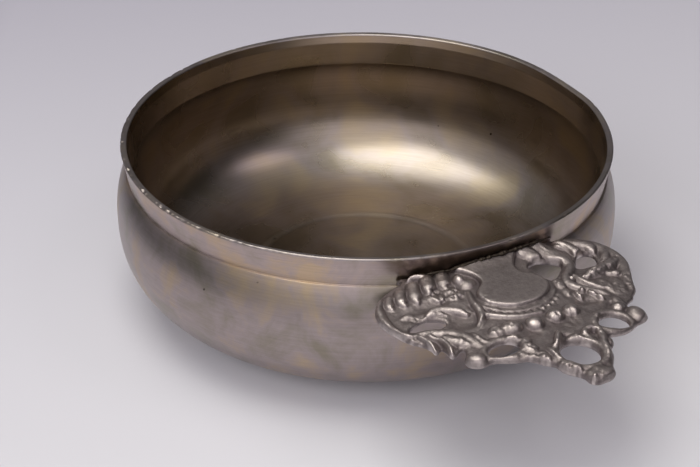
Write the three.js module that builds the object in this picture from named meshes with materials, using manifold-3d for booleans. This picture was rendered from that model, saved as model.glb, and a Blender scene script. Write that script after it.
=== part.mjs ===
// Pewter porringer: a turned bellied bowl and one openwork cast handle soldered to its collar.
// Millimetres, +Z up. The origin is the centre of the flat foot, and the handle points along +X.

import * as THREE from "three";
import { mergeVertices } from "three/addons/utils/BufferGeometryUtils.js";
import Module from "manifold-3d";

const wasm = await Module();
wasm.setup();

// Bowl
const rimRadius = 66;
const rimHeight = 47;
const lipWidth = 2.4;
const lipDepth = 2.6;
const lipProud = 0.5;
const lipRound = 0.8;
const collarWall = 1.8;
const collarTaper = 0.9;
const creaseDrop = 8.3;
const bellyBulge = 3.8;
const bellyHeight = 26;
const bellyPower = 2.38;
const bellyWall = 1.7;
const footRadius = 32;
const footStep = 1;
const footRound = 0.7;
const baseShelf = 4.3;
const floorThickness = 1.6;
const wellSlope = 3;
const bowlSides = 66;

// Handle casting. A place on it is [out, side]: outwards from the collar, and sideways from the
// middle line. Heights are counted from the flat top of its plate.
const jointGap = 0.3;
const handleDrop = 4.5;
const plateThickness = 2.6;
const wingThickness = 2;
const wingDroop = THREE.MathUtils.degToRad(4.4);
const wingHinge = 9;
const rootSink = 4;
const rootBandWidth = 1.6;
const rootHalfWidth = 19.5;

// Shield in the middle of the handle, with its border, string of beads and row of pearls
const shieldSide = -0.5;
const shieldRootHalfWidth = 8.5;
const shieldNeckOut = 6.9;
const shieldNeckHalfWidth = 5.4;
const shieldBulbOut = 12.8;
const shieldBulbHalfWidth = 9.1;
const shieldBulbDepth = 7.3;
const shieldRaise = 0.75;
const borderWidth = 1.7;
const lineHalfWidth = 0.55;
const lineHeight = 0.5;
const beadCount = 11;
const beadRadius = 0.65;
const beadOffset = 3;
const beadFan = THREE.MathUtils.degToRad(49);
const outerLineOffset = 4.5;
const pearlCount = 4;
const pearlRadius = 2.4;
const pearlPitch = 5.6;
const pearlOut = 27.2;
const pearlHeight = 1.3;
const apronHalfWidth = 13;

// Side scrolls
const scroll = { out: 10.2, side: 20 };
const scrollRadius = 13.5;
const lobeCount = 6;
const lobePitch = THREE.MathUtils.degToRad(23.6);
const lobeFirst = THREE.MathUtils.degToRad(-49);
const lobeSwirl = THREE.MathUtils.degToRad(16);
const lobeHalfLength = 4.1;
const lobeHalfWidth = 2.2;
const lobeHeight = 0.9;
const lobeInset = 3.7;

// Openings and hollow of the scrolls, placed from the scroll's centre
const innerOpening = { out: -1.9, side: -8.2, halfLength: 4.9, halfWidth: 3.4, turn: -0.35 };
const outerOpening = { out: -2.3, side: 2.6, halfLength: 3.9, halfWidth: 3, turn: -0.5 };
const almondOpening = { out: 6.8, side: 4.6, halfLength: 2.2, halfWidth: 4.3, turn: 0.1 };
const dish = { out: 4.5, side: -1.5, halfLength: 6.5, halfWidth: 7, height: 0.8 };

// Rings and knobs; knobs are placed from their ring's centre
const rightRing = { out: 33.9, side: 14.6, halfLength: 2.9, halfWidth: 3.1 };
const leftRing = { out: 32.9, side: 14.2, halfLength: 2.5, halfWidth: 3.7 };
const sideBand = 2;
const rightKnob = { out: -1.2, side: 7.1, halfLength: 3, halfWidth: 2.3, height: 1.8, turn: -0.25 };
const leftKnob = { out: 0, side: 7.2, halfLength: 2.5, halfWidth: 2.3, height: 1.8, turn: -0.4 };
const notchKnob = { out: 7.3, side: -5.5, halfLength: 1.5, halfWidth: 1.2, height: 1.2 };
const tipRing = { out: 42, side: 0.4, halfLength: 4.6, halfWidth: 4.3 };
const tipBand = 2.6;
const tipKnob = { halfLength: 2.6, halfWidth: 3.5, height: 1.6 };
const tipKnobOverlap = 1.4;

// Tongue under the root, and the solder seams
const tongueHalfWidth = 9;
const tongueLength = 9.5;
const tongueThickness = 2.4;
const solderRadius = 0.5;
const tongueGap = 1;

// Sizes that follow from the ones above
const collarRadius = rimRadius - lipProud;
const creaseRadius = collarRadius - collarTaper;
const creaseHeight = rimHeight - creaseDrop;
const bellyRadius = creaseRadius + bellyBulge;
const baseRadius = footRadius + baseShelf;
const plateTop = rimHeight - handleDrop;
const rootAngle = Math.asin(rootHalfWidth / collarRadius);
const plateMiddle = -plateThickness / 2;

// Points along a curve given as a function of 0 to 1
function sweep(steps, pointAt) {
  return Array.from({ length: steps + 1 }, (_, i) => pointAt(i / steps));
}

function quarter(t) {
  return (t * Math.PI) / 2;
}

// Shoulder of the bowl: a quarter ellipse from the widest level up to the crease
function upperBelly(wall, top) {
  return sweep(5, (t) => {
    const out = creaseRadius - wall + bellyBulge * Math.cos(quarter(t));
    return new THREE.Vector2(out, bellyHeight + (top - bellyHeight) * Math.sin(quarter(t)));
  });
}

// Lower wall of the bowl: a superellipse from the flat bottom up to the widest level
function lowerBelly(wall, innerRadius, bottom) {
  return sweep(10, (t) => {
    const out = Math.pow(Math.sin(quarter(t)), 2 / bellyPower);
    const down = Math.pow(Math.abs(Math.cos(quarter(t))), 2 / bellyPower);
    const reach = bellyRadius - wall - innerRadius;
    return new THREE.Vector2(innerRadius + reach * out, bellyHeight - (bellyHeight - bottom) * down);
  });
}

function outsideProfile() {
  const foot = sweep(3, (t) => {
    const out = footRadius - footRound + footRound * Math.sin(quarter(t));
    return new THREE.Vector2(out, footRound * (1 - Math.cos(quarter(t))));
  });
  const lipTop = sweep(3, (t) => {
    const out = rimRadius - lipRound + lipRound * Math.cos(quarter(t));
    return new THREE.Vector2(out, rimHeight - lipRound + lipRound * Math.sin(quarter(t)));
  });
  return [
    new THREE.Vector2(0, 0),
    ...foot,
    new THREE.Vector2(footRadius, footStep),
    ...lowerBelly(0, baseRadius, footStep),
    ...upperBelly(0, creaseHeight).slice(1),
    new THREE.Vector2(collarRadius, rimHeight - lipDepth),
    new THREE.Vector2(rimRadius, rimHeight - lipDepth + lipProud),
    ...lipTop,
  ];
}

function insideProfile() {
  const shelf = footStep + bellyWall;
  const well = sweep(3, (t) => {
    const out = footRadius - wellSlope + wellSlope * Math.sin(quarter(t));
    return new THREE.Vector2(out, floorThickness + (shelf - floorThickness) * (1 - Math.cos(quarter(t))));
  });
  return [
    new THREE.Vector2(rimRadius - lipWidth, rimHeight - lipRound / 2),
    ...upperBelly(collarWall, creaseHeight - bellyWall / 2).reverse(),
    ...lowerBelly(collarWall, footRadius + bellyWall, shelf).reverse().slice(1),
    ...well.reverse(),
    new THREE.Vector2(0, floorThickness),
  ];
}

// The same profile, moved out square to its surface
function grow(profile, distance) {
  return profile.map((point, i) => {
    const before = profile[Math.max(i - 1, 0)];
    const after = profile[Math.min(i + 1, profile.length - 1)];
    const along = after.clone().sub(before).normalize();
    const out = Math.max(point.x + along.y * distance, 0);
    return new THREE.Vector2(point.x === 0 ? 0 : out, point.y - along.x * distance);
  });
}

function revolve(profile) {
  return new THREE.LatheGeometry(profile, bowlSides).rotateX(Math.PI / 2);
}

// Solid filling the bowl and the space above it, grown by a clearance
function bowlBlock(clearance) {
  const outside = grow(outsideProfile(), clearance);
  const above = 2 * rimHeight;
  const top = outside[outside.length - 1];
  return revolve([...outside, new THREE.Vector2(top.x, above), new THREE.Vector2(0, above)]);
}

// Outer radius of the bowl at a height between its widest level and its lip
function outerRadiusAt(height) {
  if (height >= creaseHeight) {
    const share = (height - creaseHeight) / (rimHeight - lipDepth - creaseHeight);
    return creaseRadius + collarTaper * share;
  }
  const rise = Math.max(height - bellyHeight, 0) / (creaseHeight - bellyHeight);
  return creaseRadius + bellyBulge * Math.sqrt(1 - rise * rise);
}

// Closed meshes to solids and back, for joins and cuts
function toSolid(geometry) {
  const bare = new THREE.BufferGeometry();
  bare.setAttribute("position", geometry.getAttribute("position").clone());
  if (geometry.index) {
    bare.setIndex(geometry.index.clone());
  }
  const merged = mergeVertices(bare, 1e-4);
  const corners = merged.index.array;
  const kept = [];
  for (let i = 0; i < corners.length; i += 3) {
    const [a, b, c] = [corners[i], corners[i + 1], corners[i + 2]];
    if (a !== b && b !== c && c !== a) {
      kept.push(a, b, c);
    }
  }
  const vertProperties = new Float32Array(merged.getAttribute("position").array);
  return new wasm.Manifold(new wasm.Mesh({ numProp: 3, vertProperties, triVerts: new Uint32Array(kept) }));
}

function toGeometry(solid) {
  const mesh = solid.getMesh();
  const geometry = new THREE.BufferGeometry();
  geometry.setAttribute("position", new THREE.BufferAttribute(new Float32Array(mesh.vertProperties), 3));
  geometry.setIndex(new THREE.BufferAttribute(new Uint32Array(mesh.triVerts), 1));
  geometry.computeVertexNormals();
  return geometry;
}

function join(geometries) {
  return geometries.map(toSolid).reduce((whole, next) => whole.add(next));
}

// Flat plate from an outline, between two levels
function plate(outline, bottom, top) {
  const settings = { depth: top - bottom, bevelEnabled: false, curveSegments: 10 };
  return new THREE.ExtrudeGeometry(outline, settings).translate(0, 0, bottom);
}

function ellipseOutline({ out, side, halfLength, halfWidth, turn = 0 }, band = 0) {
  const outline = new THREE.Shape();
  outline.absellipse(out, side, halfLength + band, halfWidth + band, 0, 2 * Math.PI, false, turn);
  return outline;
}

// Rounded lump around a level
function lump({ out, side, halfLength, halfWidth, height, turn = 0 }, level = 0) {
  const ball = new THREE.SphereGeometry(1, 10, 6).rotateX(Math.PI / 2);
  return ball.scale(halfLength, halfWidth, height).rotateZ(turn).translate(out, side, level);
}

// Round ridge along a curve, tapering to a point at both ends
function ridge(places, halfWidth, height, level = 0, steps = 9) {
  const curve = new THREE.CatmullRomCurve3(places.map(([out, side]) => new THREE.Vector3(out, side, level)));
  const sides = 6;
  const positions = curve.getPoint(0).toArray();
  for (let i = 1; i < steps; i += 1) {
    const centre = curve.getPoint(i / steps);
    const along = curve.getTangent(i / steps);
    const swell = Math.sqrt(Math.sin((Math.PI * i) / steps));
    for (let k = 0; k < sides; k += 1) {
      const across = halfWidth * swell * Math.cos((2 * Math.PI * k) / sides);
      const up = height * swell * Math.sin((2 * Math.PI * k) / sides);
      positions.push(centre.x - along.y * across, centre.y + along.x * across, centre.z + up);
    }
  }
  positions.push(...curve.getPoint(1).toArray());
  const last = 1 + (steps - 1) * sides;
  const corners = [];
  for (let k = 0; k < sides; k += 1) {
    const next = (k + 1) % sides;
    corners.push(0, 1 + next, 1 + k, last, last - sides + k, last - sides + next);
    for (let here = 1; here < last - sides; here += sides) {
      const beyond = here + sides;
      corners.push(here + k, here + next, beyond + k, here + next, beyond + next, beyond + k);
    }
  }
  const geometry = new THREE.BufferGeometry();
  geometry.setAttribute("position", new THREE.BufferAttribute(new Float32Array(positions), 3));
  geometry.setIndex(corners);
  return geometry;
}

// Shield: straight at the root, drawn in at the neck, and a round bulb below it
function shieldOutline(band) {
  const root = shieldRootHalfWidth + band;
  const neck = shieldNeckHalfWidth + band;
  const bulb = shieldBulbHalfWidth + band;
  const outline = new THREE.Shape();
  outline.moveTo(-rootSink, -root);
  outline.lineTo(0, -root);
  outline.quadraticCurveTo(shieldNeckOut / 2, -neck, shieldNeckOut, -neck);
  outline.bezierCurveTo(shieldNeckOut + 2, -neck, shieldBulbOut - 4, -bulb, shieldBulbOut, -bulb);
  outline.absellipse(shieldBulbOut, 0, shieldBulbDepth + band, bulb, -Math.PI / 2, Math.PI / 2, false, 0);
  outline.bezierCurveTo(shieldBulbOut - 4, bulb, shieldNeckOut + 2, neck, shieldNeckOut, neck);
  outline.quadraticCurveTo(shieldNeckOut / 2, neck, 0, root);
  outline.lineTo(-rootSink, root);
  outline.closePath();
  return outline;
}

// Place on the lower edge of the shield's bulb, at an angle from the middle line
function belowShield(offset, angle) {
  const out = shieldBulbOut + (shieldBulbDepth + offset) * Math.cos(angle);
  return [out, (shieldBulbHalfWidth + offset) * Math.sin(angle)];
}

function lineBelowShield(offset, fan) {
  const places = sweep(8, (t) => belowShield(offset, (2 * t - 1) * fan));
  return ridge(places, lineHalfWidth, lineHeight, 0, 20).translate(0, shieldSide, 0);
}

// Band of the root that bears against the collar
function rootBandOutline() {
  const outline = new THREE.Shape();
  outline.absarc(-collarRadius, 0, collarRadius + rootBandWidth, -rootAngle, rootAngle, false);
  outline.lineTo(-rootSink - collarRadius * (1 - Math.cos(rootAngle)), rootHalfWidth);
  outline.lineTo(-rootSink - collarRadius * (1 - Math.cos(rootAngle)), -rootHalfWidth);
  outline.closePath();
  return outline;
}

// Plate that carries beads and pearls, and runs on to the hanging ring
function apronOutline() {
  const start = shieldBulbOut;
  const waist = tipRing.out - tipRing.halfLength;
  const ringHalfWidth = tipRing.halfWidth + tipBand;
  const outline = new THREE.Shape();
  outline.moveTo(start, -apronHalfWidth);
  outline.lineTo(pearlOut, -apronHalfWidth);
  outline.quadraticCurveTo(waist, -apronHalfWidth, tipRing.out, -ringHalfWidth);
  outline.lineTo(tipRing.out, ringHalfWidth);
  outline.quadraticCurveTo(waist, apronHalfWidth, pearlOut, apronHalfWidth);
  outline.lineTo(start, apronHalfWidth);
  outline.closePath();
  return outline;
}

function beadString() {
  return Array.from({ length: beadCount }, (_, i) => {
    const angle = beadFan * ((2 * i) / (beadCount - 1) - 1);
    const [out, side] = belowShield(beadOffset, angle);
    return new THREE.SphereGeometry(beadRadius, 6, 4).translate(out, shieldSide + side, 0);
  });
}

function pearlRow() {
  return Array.from({ length: pearlCount }, (_, i) => {
    const side = (i - (pearlCount - 1) / 2) * pearlPitch;
    const pearl = new THREE.SphereGeometry(pearlRadius, 12, 8).scale(1, 1, pearlHeight / pearlRadius);
    return pearl.translate(pearlOut, side, 0);
  });
}

function middleOfHandle() {
  const tipEnd = tipRing.out + tipRing.halfLength + tipBand;
  const knob = { out: tipEnd + tipKnob.halfLength - tipKnobOverlap, side: 0, ...tipKnob };
  return [
    plate(shieldOutline(borderWidth), -plateThickness, 0).translate(0, shieldSide, 0),
    plate(shieldOutline(0), -plateThickness, shieldRaise).translate(0, shieldSide, 0),
    plate(rootBandOutline(), -plateThickness, shieldRaise),
    plate(apronOutline(), -plateThickness, 0),
    plate(ellipseOutline(tipRing, tipBand), -plateThickness, 0),
    lineBelowShield(borderWidth, Math.PI / 2),
    lineBelowShield(outerLineOffset, beadFan),
    ...beadString(),
    ...pearlRow(),
    ...tipCrests(),
    lump(knob, plateMiddle / 2),
  ];
}

// Shapes and places moved from a centre of their own to the handle's
function shapeFrom(centre, shape) {
  return { ...shape, out: centre.out + shape.out, side: centre.side + shape.side };
}

function placesFrom(centre, places) {
  return places.map(([out, side]) => [centre.out + out, centre.side + side]);
}

// Crests of leaf around the hanging ring
function tipCrests() {
  const ringLine = sweep(12, (t) => {
    const angle = Math.PI * (1.9 * t - 0.95);
    const halfLength = tipRing.halfLength + tipBand / 2;
    const halfWidth = tipRing.halfWidth + tipBand / 2;
    return [tipRing.out + halfLength * Math.cos(angle), halfWidth * Math.sin(angle)];
  });
  const crest = (places, halfWidth, height) => ridge(placesFrom(tipRing, places), halfWidth, height);
  return [
    ridge(ringLine, 1.2, 0.5, 0, 24),
    crest([[-8.3, -0.7], [-6, -2.8], [-3.8, -4.9]], 1, 0.9),
    crest([[-3, 5], [-6.6, 5.3], [-6.4, 8.3], [-3, 7.9], [1, 6.4], [5, 4.4]], 1, 0.7),
    crest([[-7.6, -10], [-5, -8.6], [-2.2, -7.9], [0.6, -8]], 1.2, 0.6),
    crest([[-11.7, -13.4], [-10.6, -11.6], [-8.9, -10.2]], 1.4, 0.7),
  ];
}

// Outline of one wing: scroll, leaf, knob and side ring. The leaf ends in points.
function wingOutline(leafPoints, ring) {
  const overlap = shieldNeckHalfWidth + borderWidth;
  const from = THREE.MathUtils.degToRad(160);
  const to = THREE.MathUtils.degToRad(48);
  const outline = new THREE.Shape();
  outline.moveTo(-rootSink, overlap);
  outline.lineTo(-rootSink, rootHalfWidth);
  outline.lineTo(scroll.out + scrollRadius * Math.cos(from), scroll.side + scrollRadius * Math.sin(from));
  outline.absarc(scroll.out, scroll.side, scrollRadius, from, to, true);
  placesFrom(scroll, leafPoints).forEach(([out, side]) => outline.lineTo(out, side));
  outline.lineTo(ring.out, ring.side + ring.halfWidth);
  outline.lineTo(ring.out, overlap);
  outline.closePath();
  return outline;
}

// Gadroons round the outside of the scroll
function lobes() {
  const radius = scrollRadius - lobeInset;
  return Array.from({ length: lobeCount }, (_, i) => {
    const angle = lobeFirst + i * lobePitch;
    const out = scroll.out - radius * Math.cos(angle);
    const side = scroll.side + radius * Math.sin(angle);
    const shape = { halfLength: lobeHalfLength, halfWidth: lobeHalfWidth, height: lobeHeight };
    return lump({ out, side, ...shape, turn: Math.PI - angle + lobeSwirl });
  });
}

// Edge of the scroll from the last gadroon down to the leaf
function scrollEdge() {
  const places = sweep(6, (t) => {
    const angle = THREE.MathUtils.degToRad(118 - 75 * t);
    const radius = scrollRadius - 1.3;
    return [scroll.out + radius * Math.cos(angle), scroll.side + radius * Math.sin(angle)];
  });
  return ridge(places, 1.5, 0.6);
}

function ringWithKnobs(ring, ...knobs) {
  return [
    plate(ellipseOutline(ring, sideBand), -wingThickness, 0),
    ...knobs.map((knob) => lump(shapeFrom(ring, knob), -wingThickness / 2)),
  ];
}

// Vein or strap of the leaf, placed from the scroll's centre
function vein(places, halfWidth, height, level = 0) {
  return ridge(placesFrom(scroll, places), halfWidth, height, level);
}

function rightWing() {
  const leafPoints = [[12.3, 8.2], [15.6, 5.2], [16.5, 4], [18.6, 1.6]];
  return [
    plate(wingOutline(leafPoints, rightRing), -wingThickness, 0),
    ...lobes(),
    scrollEdge(),
    vein([[6.4, -1.3], [5.2, 1.3], [4.2, 4.3], [3.2, 7.3], [2, 9.9]], 2, 1),
    vein([[-1, -1.8], [1.2, -4], [3.6, -6.4], [7.8, -6.2], [12.4, -2.2], [15, -0.8]], 1.2, 0.7),
    vein([[4.2, -4.3], [7.2, -3.2], [10.2, -1.5], [12.8, 0.2]], 0.9, 0.5),
    vein([[6.6, 9.4], [10, 7.7], [13.4, 6]], 1.5, 0.5),
    vein([[8.5, 4.2], [11.3, 3.9], [14.5, 3.6]], 1.5, 0.5),
    vein([[11.6, -7.6], [12.6, -5.4], [15, -3.2]], 0.9, 0.6),
    ...ringWithKnobs(rightRing, rightKnob, notchKnob),
  ];
}

function leftWing() {
  const leafPoints = [[12.9, 7.9], [15, 7.2], [13.9, 5.9], [18.2, 4.9], [17.3, 1.4]];
  const leaf = plate(wingOutline(leafPoints, leftRing), -wingThickness, 0);
  return [
    toGeometry(toSolid(leaf).subtract(toSolid(lump(shapeFrom(scroll, dish))))),
    ...lobes(),
    scrollEdge(),
    vein([[4.8, 4.9], [3.3, 3.2], [2.4, 0.3], [3.2, -2.4], [5, -4.4], [7.6, -5.1]], 1.1, 1, -0.3),
    vein([[9.3, 9.4], [10.7, 8.1], [12.7, 7.6], [15.2, 7.5]], 0.7, 0.5),
    vein([[10, 7.7], [11.3, 6], [12.9, 4.8], [15.1, 4.3], [18.2, 4.9]], 0.7, 0.6),
    vein([[12.2, 4.2], [14.6, 2.6], [17, 0.6], [18.6, -0.4]], 1.4, 0.5),
    vein([[9.2, 8.7], [10.2, 5.2], [12.1, 1.6], [14.3, -0.3], [16.9, -1.4], [20, -2]], 1.3, 0.6),
    vein([[-0.3, -9.5], [2.9, -8.8], [6.9, -8.4], [10.3, -7.3], [12.9, -5], [14.7, -2.5]], 1, 0.5),
    ...ringWithKnobs(leftRing, leftKnob),
  ];
}

// Wings hang down a little from the middle, and the left one is built as a mirror image
function setWing(geometry, mirrored) {
  geometry.translate(0, -wingHinge, 0).rotateX(-wingDroop).translate(0, wingHinge, 0);
  if (mirrored) {
    geometry.scale(1, -1, 1);
    const corners = geometry.index ? geometry.index.array : null;
    if (corners) {
      for (let i = 0; i < corners.length; i += 3) {
        [corners[i], corners[i + 1]] = [corners[i + 1], corners[i]];
      }
    } else {
      geometry.copy(flipped(geometry));
    }
  }
  return geometry;
}

// Unindexed geometry with each triangle turned the other way round
function flipped(geometry) {
  const places = geometry.getAttribute("position");
  const swap = [1, -1, 0];
  const corners = Array.from({ length: places.count }, (_, i) => i + swap[i % 3]);
  const turned = new THREE.BufferGeometry();
  turned.setAttribute("position", places.clone());
  turned.setIndex(corners);
  return turned;
}

function opening(hole) {
  return plate(ellipseOutline(hole), -2 * plateThickness, 2 * plateThickness);
}

// Tongue that hugs the belly below the root
function tongue() {
  const top = plateTop - plateThickness / 2;
  const end = plateTop - plateThickness - tongueLength;
  const outline = new THREE.Shape();
  outline.moveTo(-tongueHalfWidth, top);
  outline.bezierCurveTo(-tongueHalfWidth, end, -tongueHalfWidth / 3, end, 0, end);
  outline.bezierCurveTo(tongueHalfWidth / 3, end, tongueHalfWidth, end, tongueHalfWidth, top);
  outline.closePath();
  const upright = new THREE.Matrix4().makeBasis(
    new THREE.Vector3(0, 1, 0),
    new THREE.Vector3(0, 0, 1),
    new THREE.Vector3(1, 0, 0),
  );
  const slab = plate(outline, creaseRadius - rootSink, 2 * bellyRadius).applyMatrix4(upright);
  const face = bellyRadius + jointGap + tongueThickness;
  const section = [[0, 0], [face, 0], [face, rimHeight], [0, rimHeight]];
  const drum = revolve(section.map(([radius, height]) => new THREE.Vector2(radius, height)));
  return toSolid(slab).intersect(toSolid(drum));
}

function handle() {
  const right = rightWing().map((geometry) => setWing(geometry, false));
  const left = leftWing().map((geometry) => setWing(geometry, true));
  const rightHoles = [shapeFrom(scroll, innerOpening), shapeFrom(scroll, outerOpening), rightRing];
  const leftHoles = [shapeFrom(scroll, almondOpening), leftRing];
  const cuts = [
    opening(tipRing),
    ...rightHoles.map((hole) => setWing(opening(hole), false)),
    ...leftHoles.map((hole) => setWing(opening(hole), true)),
  ];
  const seat = (geometry) => geometry.translate(collarRadius, 0, plateTop);
  const metal = join([...middleOfHandle(), ...right, ...left].map(seat)).subtract(join(cuts.map(seat)));
  return metal.add(tongue()).subtract(toSolid(bowlBlock(jointGap)));
}

// Bead of solder along the collar between two angles
function solderBead(radius, height, from, to) {
  const places = sweep(6, (t) => {
    const angle = from + (to - from) * t;
    return [radius * Math.cos(angle), radius * Math.sin(angle)];
  });
  return ridge(places, solderRadius, solderRadius, height, 16);
}

function addPiece(name, geometry, color, roughness) {
  const piece = new THREE.Mesh(geometry, new THREE.MeshStandardMaterial({ color, roughness, metalness: 1 }));
  piece.name = name;
  porringer.add(piece);
}

const porringer = new THREE.Group();

addPiece("bowl", revolve([...outsideProfile(), ...insideProfile()]), 0x9a9388, 0.42);
addPiece("handle", toGeometry(handle()), 0x8b857d, 0.48);

const topSeam = plateTop + shieldRaise + jointGap + solderRadius;
const topSeamRadius = outerRadiusAt(topSeam) + jointGap + solderRadius;
addPiece("solder_top", solderBead(topSeamRadius, topSeam, -rootAngle, rootAngle), 0xa8a39a, 0.35);

const underSeam = plateTop - plateThickness - jointGap - solderRadius;
const underSeamRadius = outerRadiusAt(underSeam - solderRadius) + jointGap + solderRadius;
const tongueAngle = Math.asin((tongueHalfWidth + tongueGap) / creaseRadius);
const seams = { solder_under_left: [-rootAngle, -tongueAngle], solder_under_right: [tongueAngle, rootAngle] };
Object.entries(seams).forEach(([name, [from, to]]) => {
  addPiece(name, solderBead(underSeamRadius, underSeam, from, to), 0x87827a, 0.5);
});

export default porringer;
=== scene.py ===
"""Pewter porringer: a turned bowl and one cast openwork handle, dressed for a studio picture.

Blender works in metres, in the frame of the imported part: origin at the centre of the foot, +X along the
handle, +Z up. The sizes in the classes are millimetres, as a pewterer would give them.
"""

import logging
import math
import random
from collections.abc import Callable
from dataclasses import dataclass
from enum import IntEnum
from functools import partial

import bmesh
import bpy
import numpy as np
import openvdb
from mathutils import Matrix, Vector, noise


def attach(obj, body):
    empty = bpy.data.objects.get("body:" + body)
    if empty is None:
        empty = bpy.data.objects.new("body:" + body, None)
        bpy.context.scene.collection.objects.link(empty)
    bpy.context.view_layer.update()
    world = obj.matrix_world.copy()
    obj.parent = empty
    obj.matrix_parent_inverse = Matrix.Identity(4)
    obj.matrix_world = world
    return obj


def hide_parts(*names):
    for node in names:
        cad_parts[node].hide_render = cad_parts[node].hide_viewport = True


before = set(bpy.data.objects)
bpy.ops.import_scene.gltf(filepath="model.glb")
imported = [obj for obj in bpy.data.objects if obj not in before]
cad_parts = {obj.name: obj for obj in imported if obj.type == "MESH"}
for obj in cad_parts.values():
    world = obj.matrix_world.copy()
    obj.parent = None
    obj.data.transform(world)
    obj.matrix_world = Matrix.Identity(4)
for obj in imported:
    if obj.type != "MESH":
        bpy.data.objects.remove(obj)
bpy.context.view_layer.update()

Socket = bpy.types.NodeSocket

log = logging.getLogger("porringer")

MM = 0.001
BODY = "root"
HANDLE_TURN = math.radians(26.2)

# Colour sockets of a mix node: its two inputs and its output
MIX_FROM = 6
MIX_TO = 7
MIXED = 2

# Levels of a form's foot and of the ground round it, and the share of a line over which it fades at an end
FOOT_LEVEL = -0.7
FAR_BELOW = -9
END_FADE = 0.15


def linear(code: str) -> tuple[float, float, float, float]:
    """Turn an sRGB hex colour into Blender's linear colour.

    Args:
        code: Colour such as "8a8378".

    Returns:
        Linear red, green and blue, and an alpha of 1.
    """
    shares = [int(code[i : i + 2], 16) / 255 for i in (0, 2, 4)]
    return (*[s / 12.92 if s <= 0.04045 else ((s + 0.055) / 1.055) ** 2.4 for s in shares], 1.0)


def set_up(node: bpy.types.Node, settings: dict | None = None, links: dict | None = None) -> None:
    """Give a node its values and feed its inputs.

    Args:
        node: The node.
        settings: Values by socket name or number, or by property name where no socket has it.
        links: Output sockets by the name or number of the input that each one feeds.
    """
    for name, value in (settings or {}).items():
        if isinstance(name, int) or name in node.inputs:
            node.inputs[name].default_value = value
        else:
            setattr(node, name, value)
    for name, output in (links or {}).items():
        node.id_data.links.new(output, node.inputs[name])


def add_node(
    tree: bpy.types.NodeTree,
    kind: str,
    settings: dict | None = None,
    links: dict | None = None,
    take: int | str = 0,
) -> Socket:
    """Add one shader node to a tree.

    Args:
        tree: Node tree that takes the node.
        kind: Blender's name for the node type.
        settings: Values, as set_up takes them.
        links: Output sockets, as set_up takes them.
        take: Name or number of the output that is wanted.

    Returns:
        That output of the new node.
    """
    node = tree.nodes.new(kind)
    set_up(node, settings, links)
    return node.outputs[take]


def set_stops(output: Socket, stops: list) -> None:
    """Set the stops of the colour ramp that an output belongs to.

    Args:
        output: Colour output of the ramp.
        stops: Position and linear colour of each stop, in order.
    """
    elements = output.node.color_ramp.elements
    elements.remove(elements[1])
    for i, (position, colour) in enumerate(stops):
        stop = elements[0] if i == 0 else elements.new(position)
        stop.position = position
        stop.color = colour


def new_material(name: str) -> tuple[bpy.types.Material, bpy.types.Node, Callable]:
    """Start a material.

    Args:
        name: Its name.

    Returns:
        The material, its shader, and add_node for its tree.
    """
    material = bpy.data.materials.new(name)
    material.use_nodes = True
    tree = material.node_tree
    return material, tree.nodes["Principled BSDF"], partial(add_node, tree)


def seen_from_camera(right: float, away: float, up: float) -> Vector:
    """Turn a direction or place given as the camera sees it into the part's frame.

    Args:
        right: Distance to the right in the picture.
        away: Distance away from the camera, level.
        up: Distance up.

    Returns:
        The same vector in the part's frame.
    """
    sine, cosine = math.sin(HANDLE_TURN), math.cos(HANDLE_TURN)
    return Vector((right * sine - away * cosine, right * cosine + away * sine, up))


def smooth_path(places: list, spans: int = 8, closed: bool = False) -> np.ndarray:
    """Lay a Catmull-Rom curve through places on a plan.

    Args:
        places: Pairs of numbers.
        spans: Steps from each place to the next.
        closed: Whether the curve runs back to its start.

    Returns:
        Points along the curve, one row each.
    """
    knots = np.asarray(places, dtype=float)
    count = len(knots)
    if closed:
        around = np.vstack([knots[-1], knots, knots[0], knots[1]])
    else:
        around = np.vstack([2 * knots[0] - knots[1], knots, 2 * knots[-1] - knots[-2]])
    points = []
    for i in range(count if closed else count - 1):
        a, b, c, d = around[i : i + 4]
        for t in np.arange(spans) / spans:
            cubic = (2 * a - 5 * b + 4 * c - d) * t**2 + (3 * b - a - 3 * c + d) * t**3
            points.append((2 * b + (c - a) * t + cubic) / 2)
    if not closed:
        points.append(knots[-1])
    return np.array(points)


def length_along(path: np.ndarray) -> np.ndarray:
    """Distance along a path from its start to each of its points."""
    return np.concatenate([[0], np.cumsum(np.hypot(*np.diff(path, axis=0).T))])


def rounded(share: np.ndarray) -> np.ndarray:
    """Height of a round section, 1 at its middle and 0 at its edge, at shares of the way out."""
    return np.sqrt(np.clip(1 - share**2, 0, 1))


def make_object(name: str, vertices: np.ndarray, faces: list, materials: list) -> bpy.types.Object:
    """Make a smooth-shaded mesh object and link it to the scene.

    Args:
        name: Name of the object.
        vertices: Places in millimetres.
        faces: Corner numbers of each face.
        materials: Materials for its slots.

    Returns:
        The new object.
    """
    mesh = bpy.data.meshes.new(name)
    mesh.from_pydata((np.asarray(vertices) * MM).tolist(), [], faces)
    mesh.polygons.foreach_set("use_smooth", [True] * len(mesh.polygons))
    for material in materials:
        mesh.materials.append(material)
    mesh.update()
    made = bpy.data.objects.new(name, mesh)
    bpy.context.scene.collection.objects.link(made)
    return made


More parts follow.
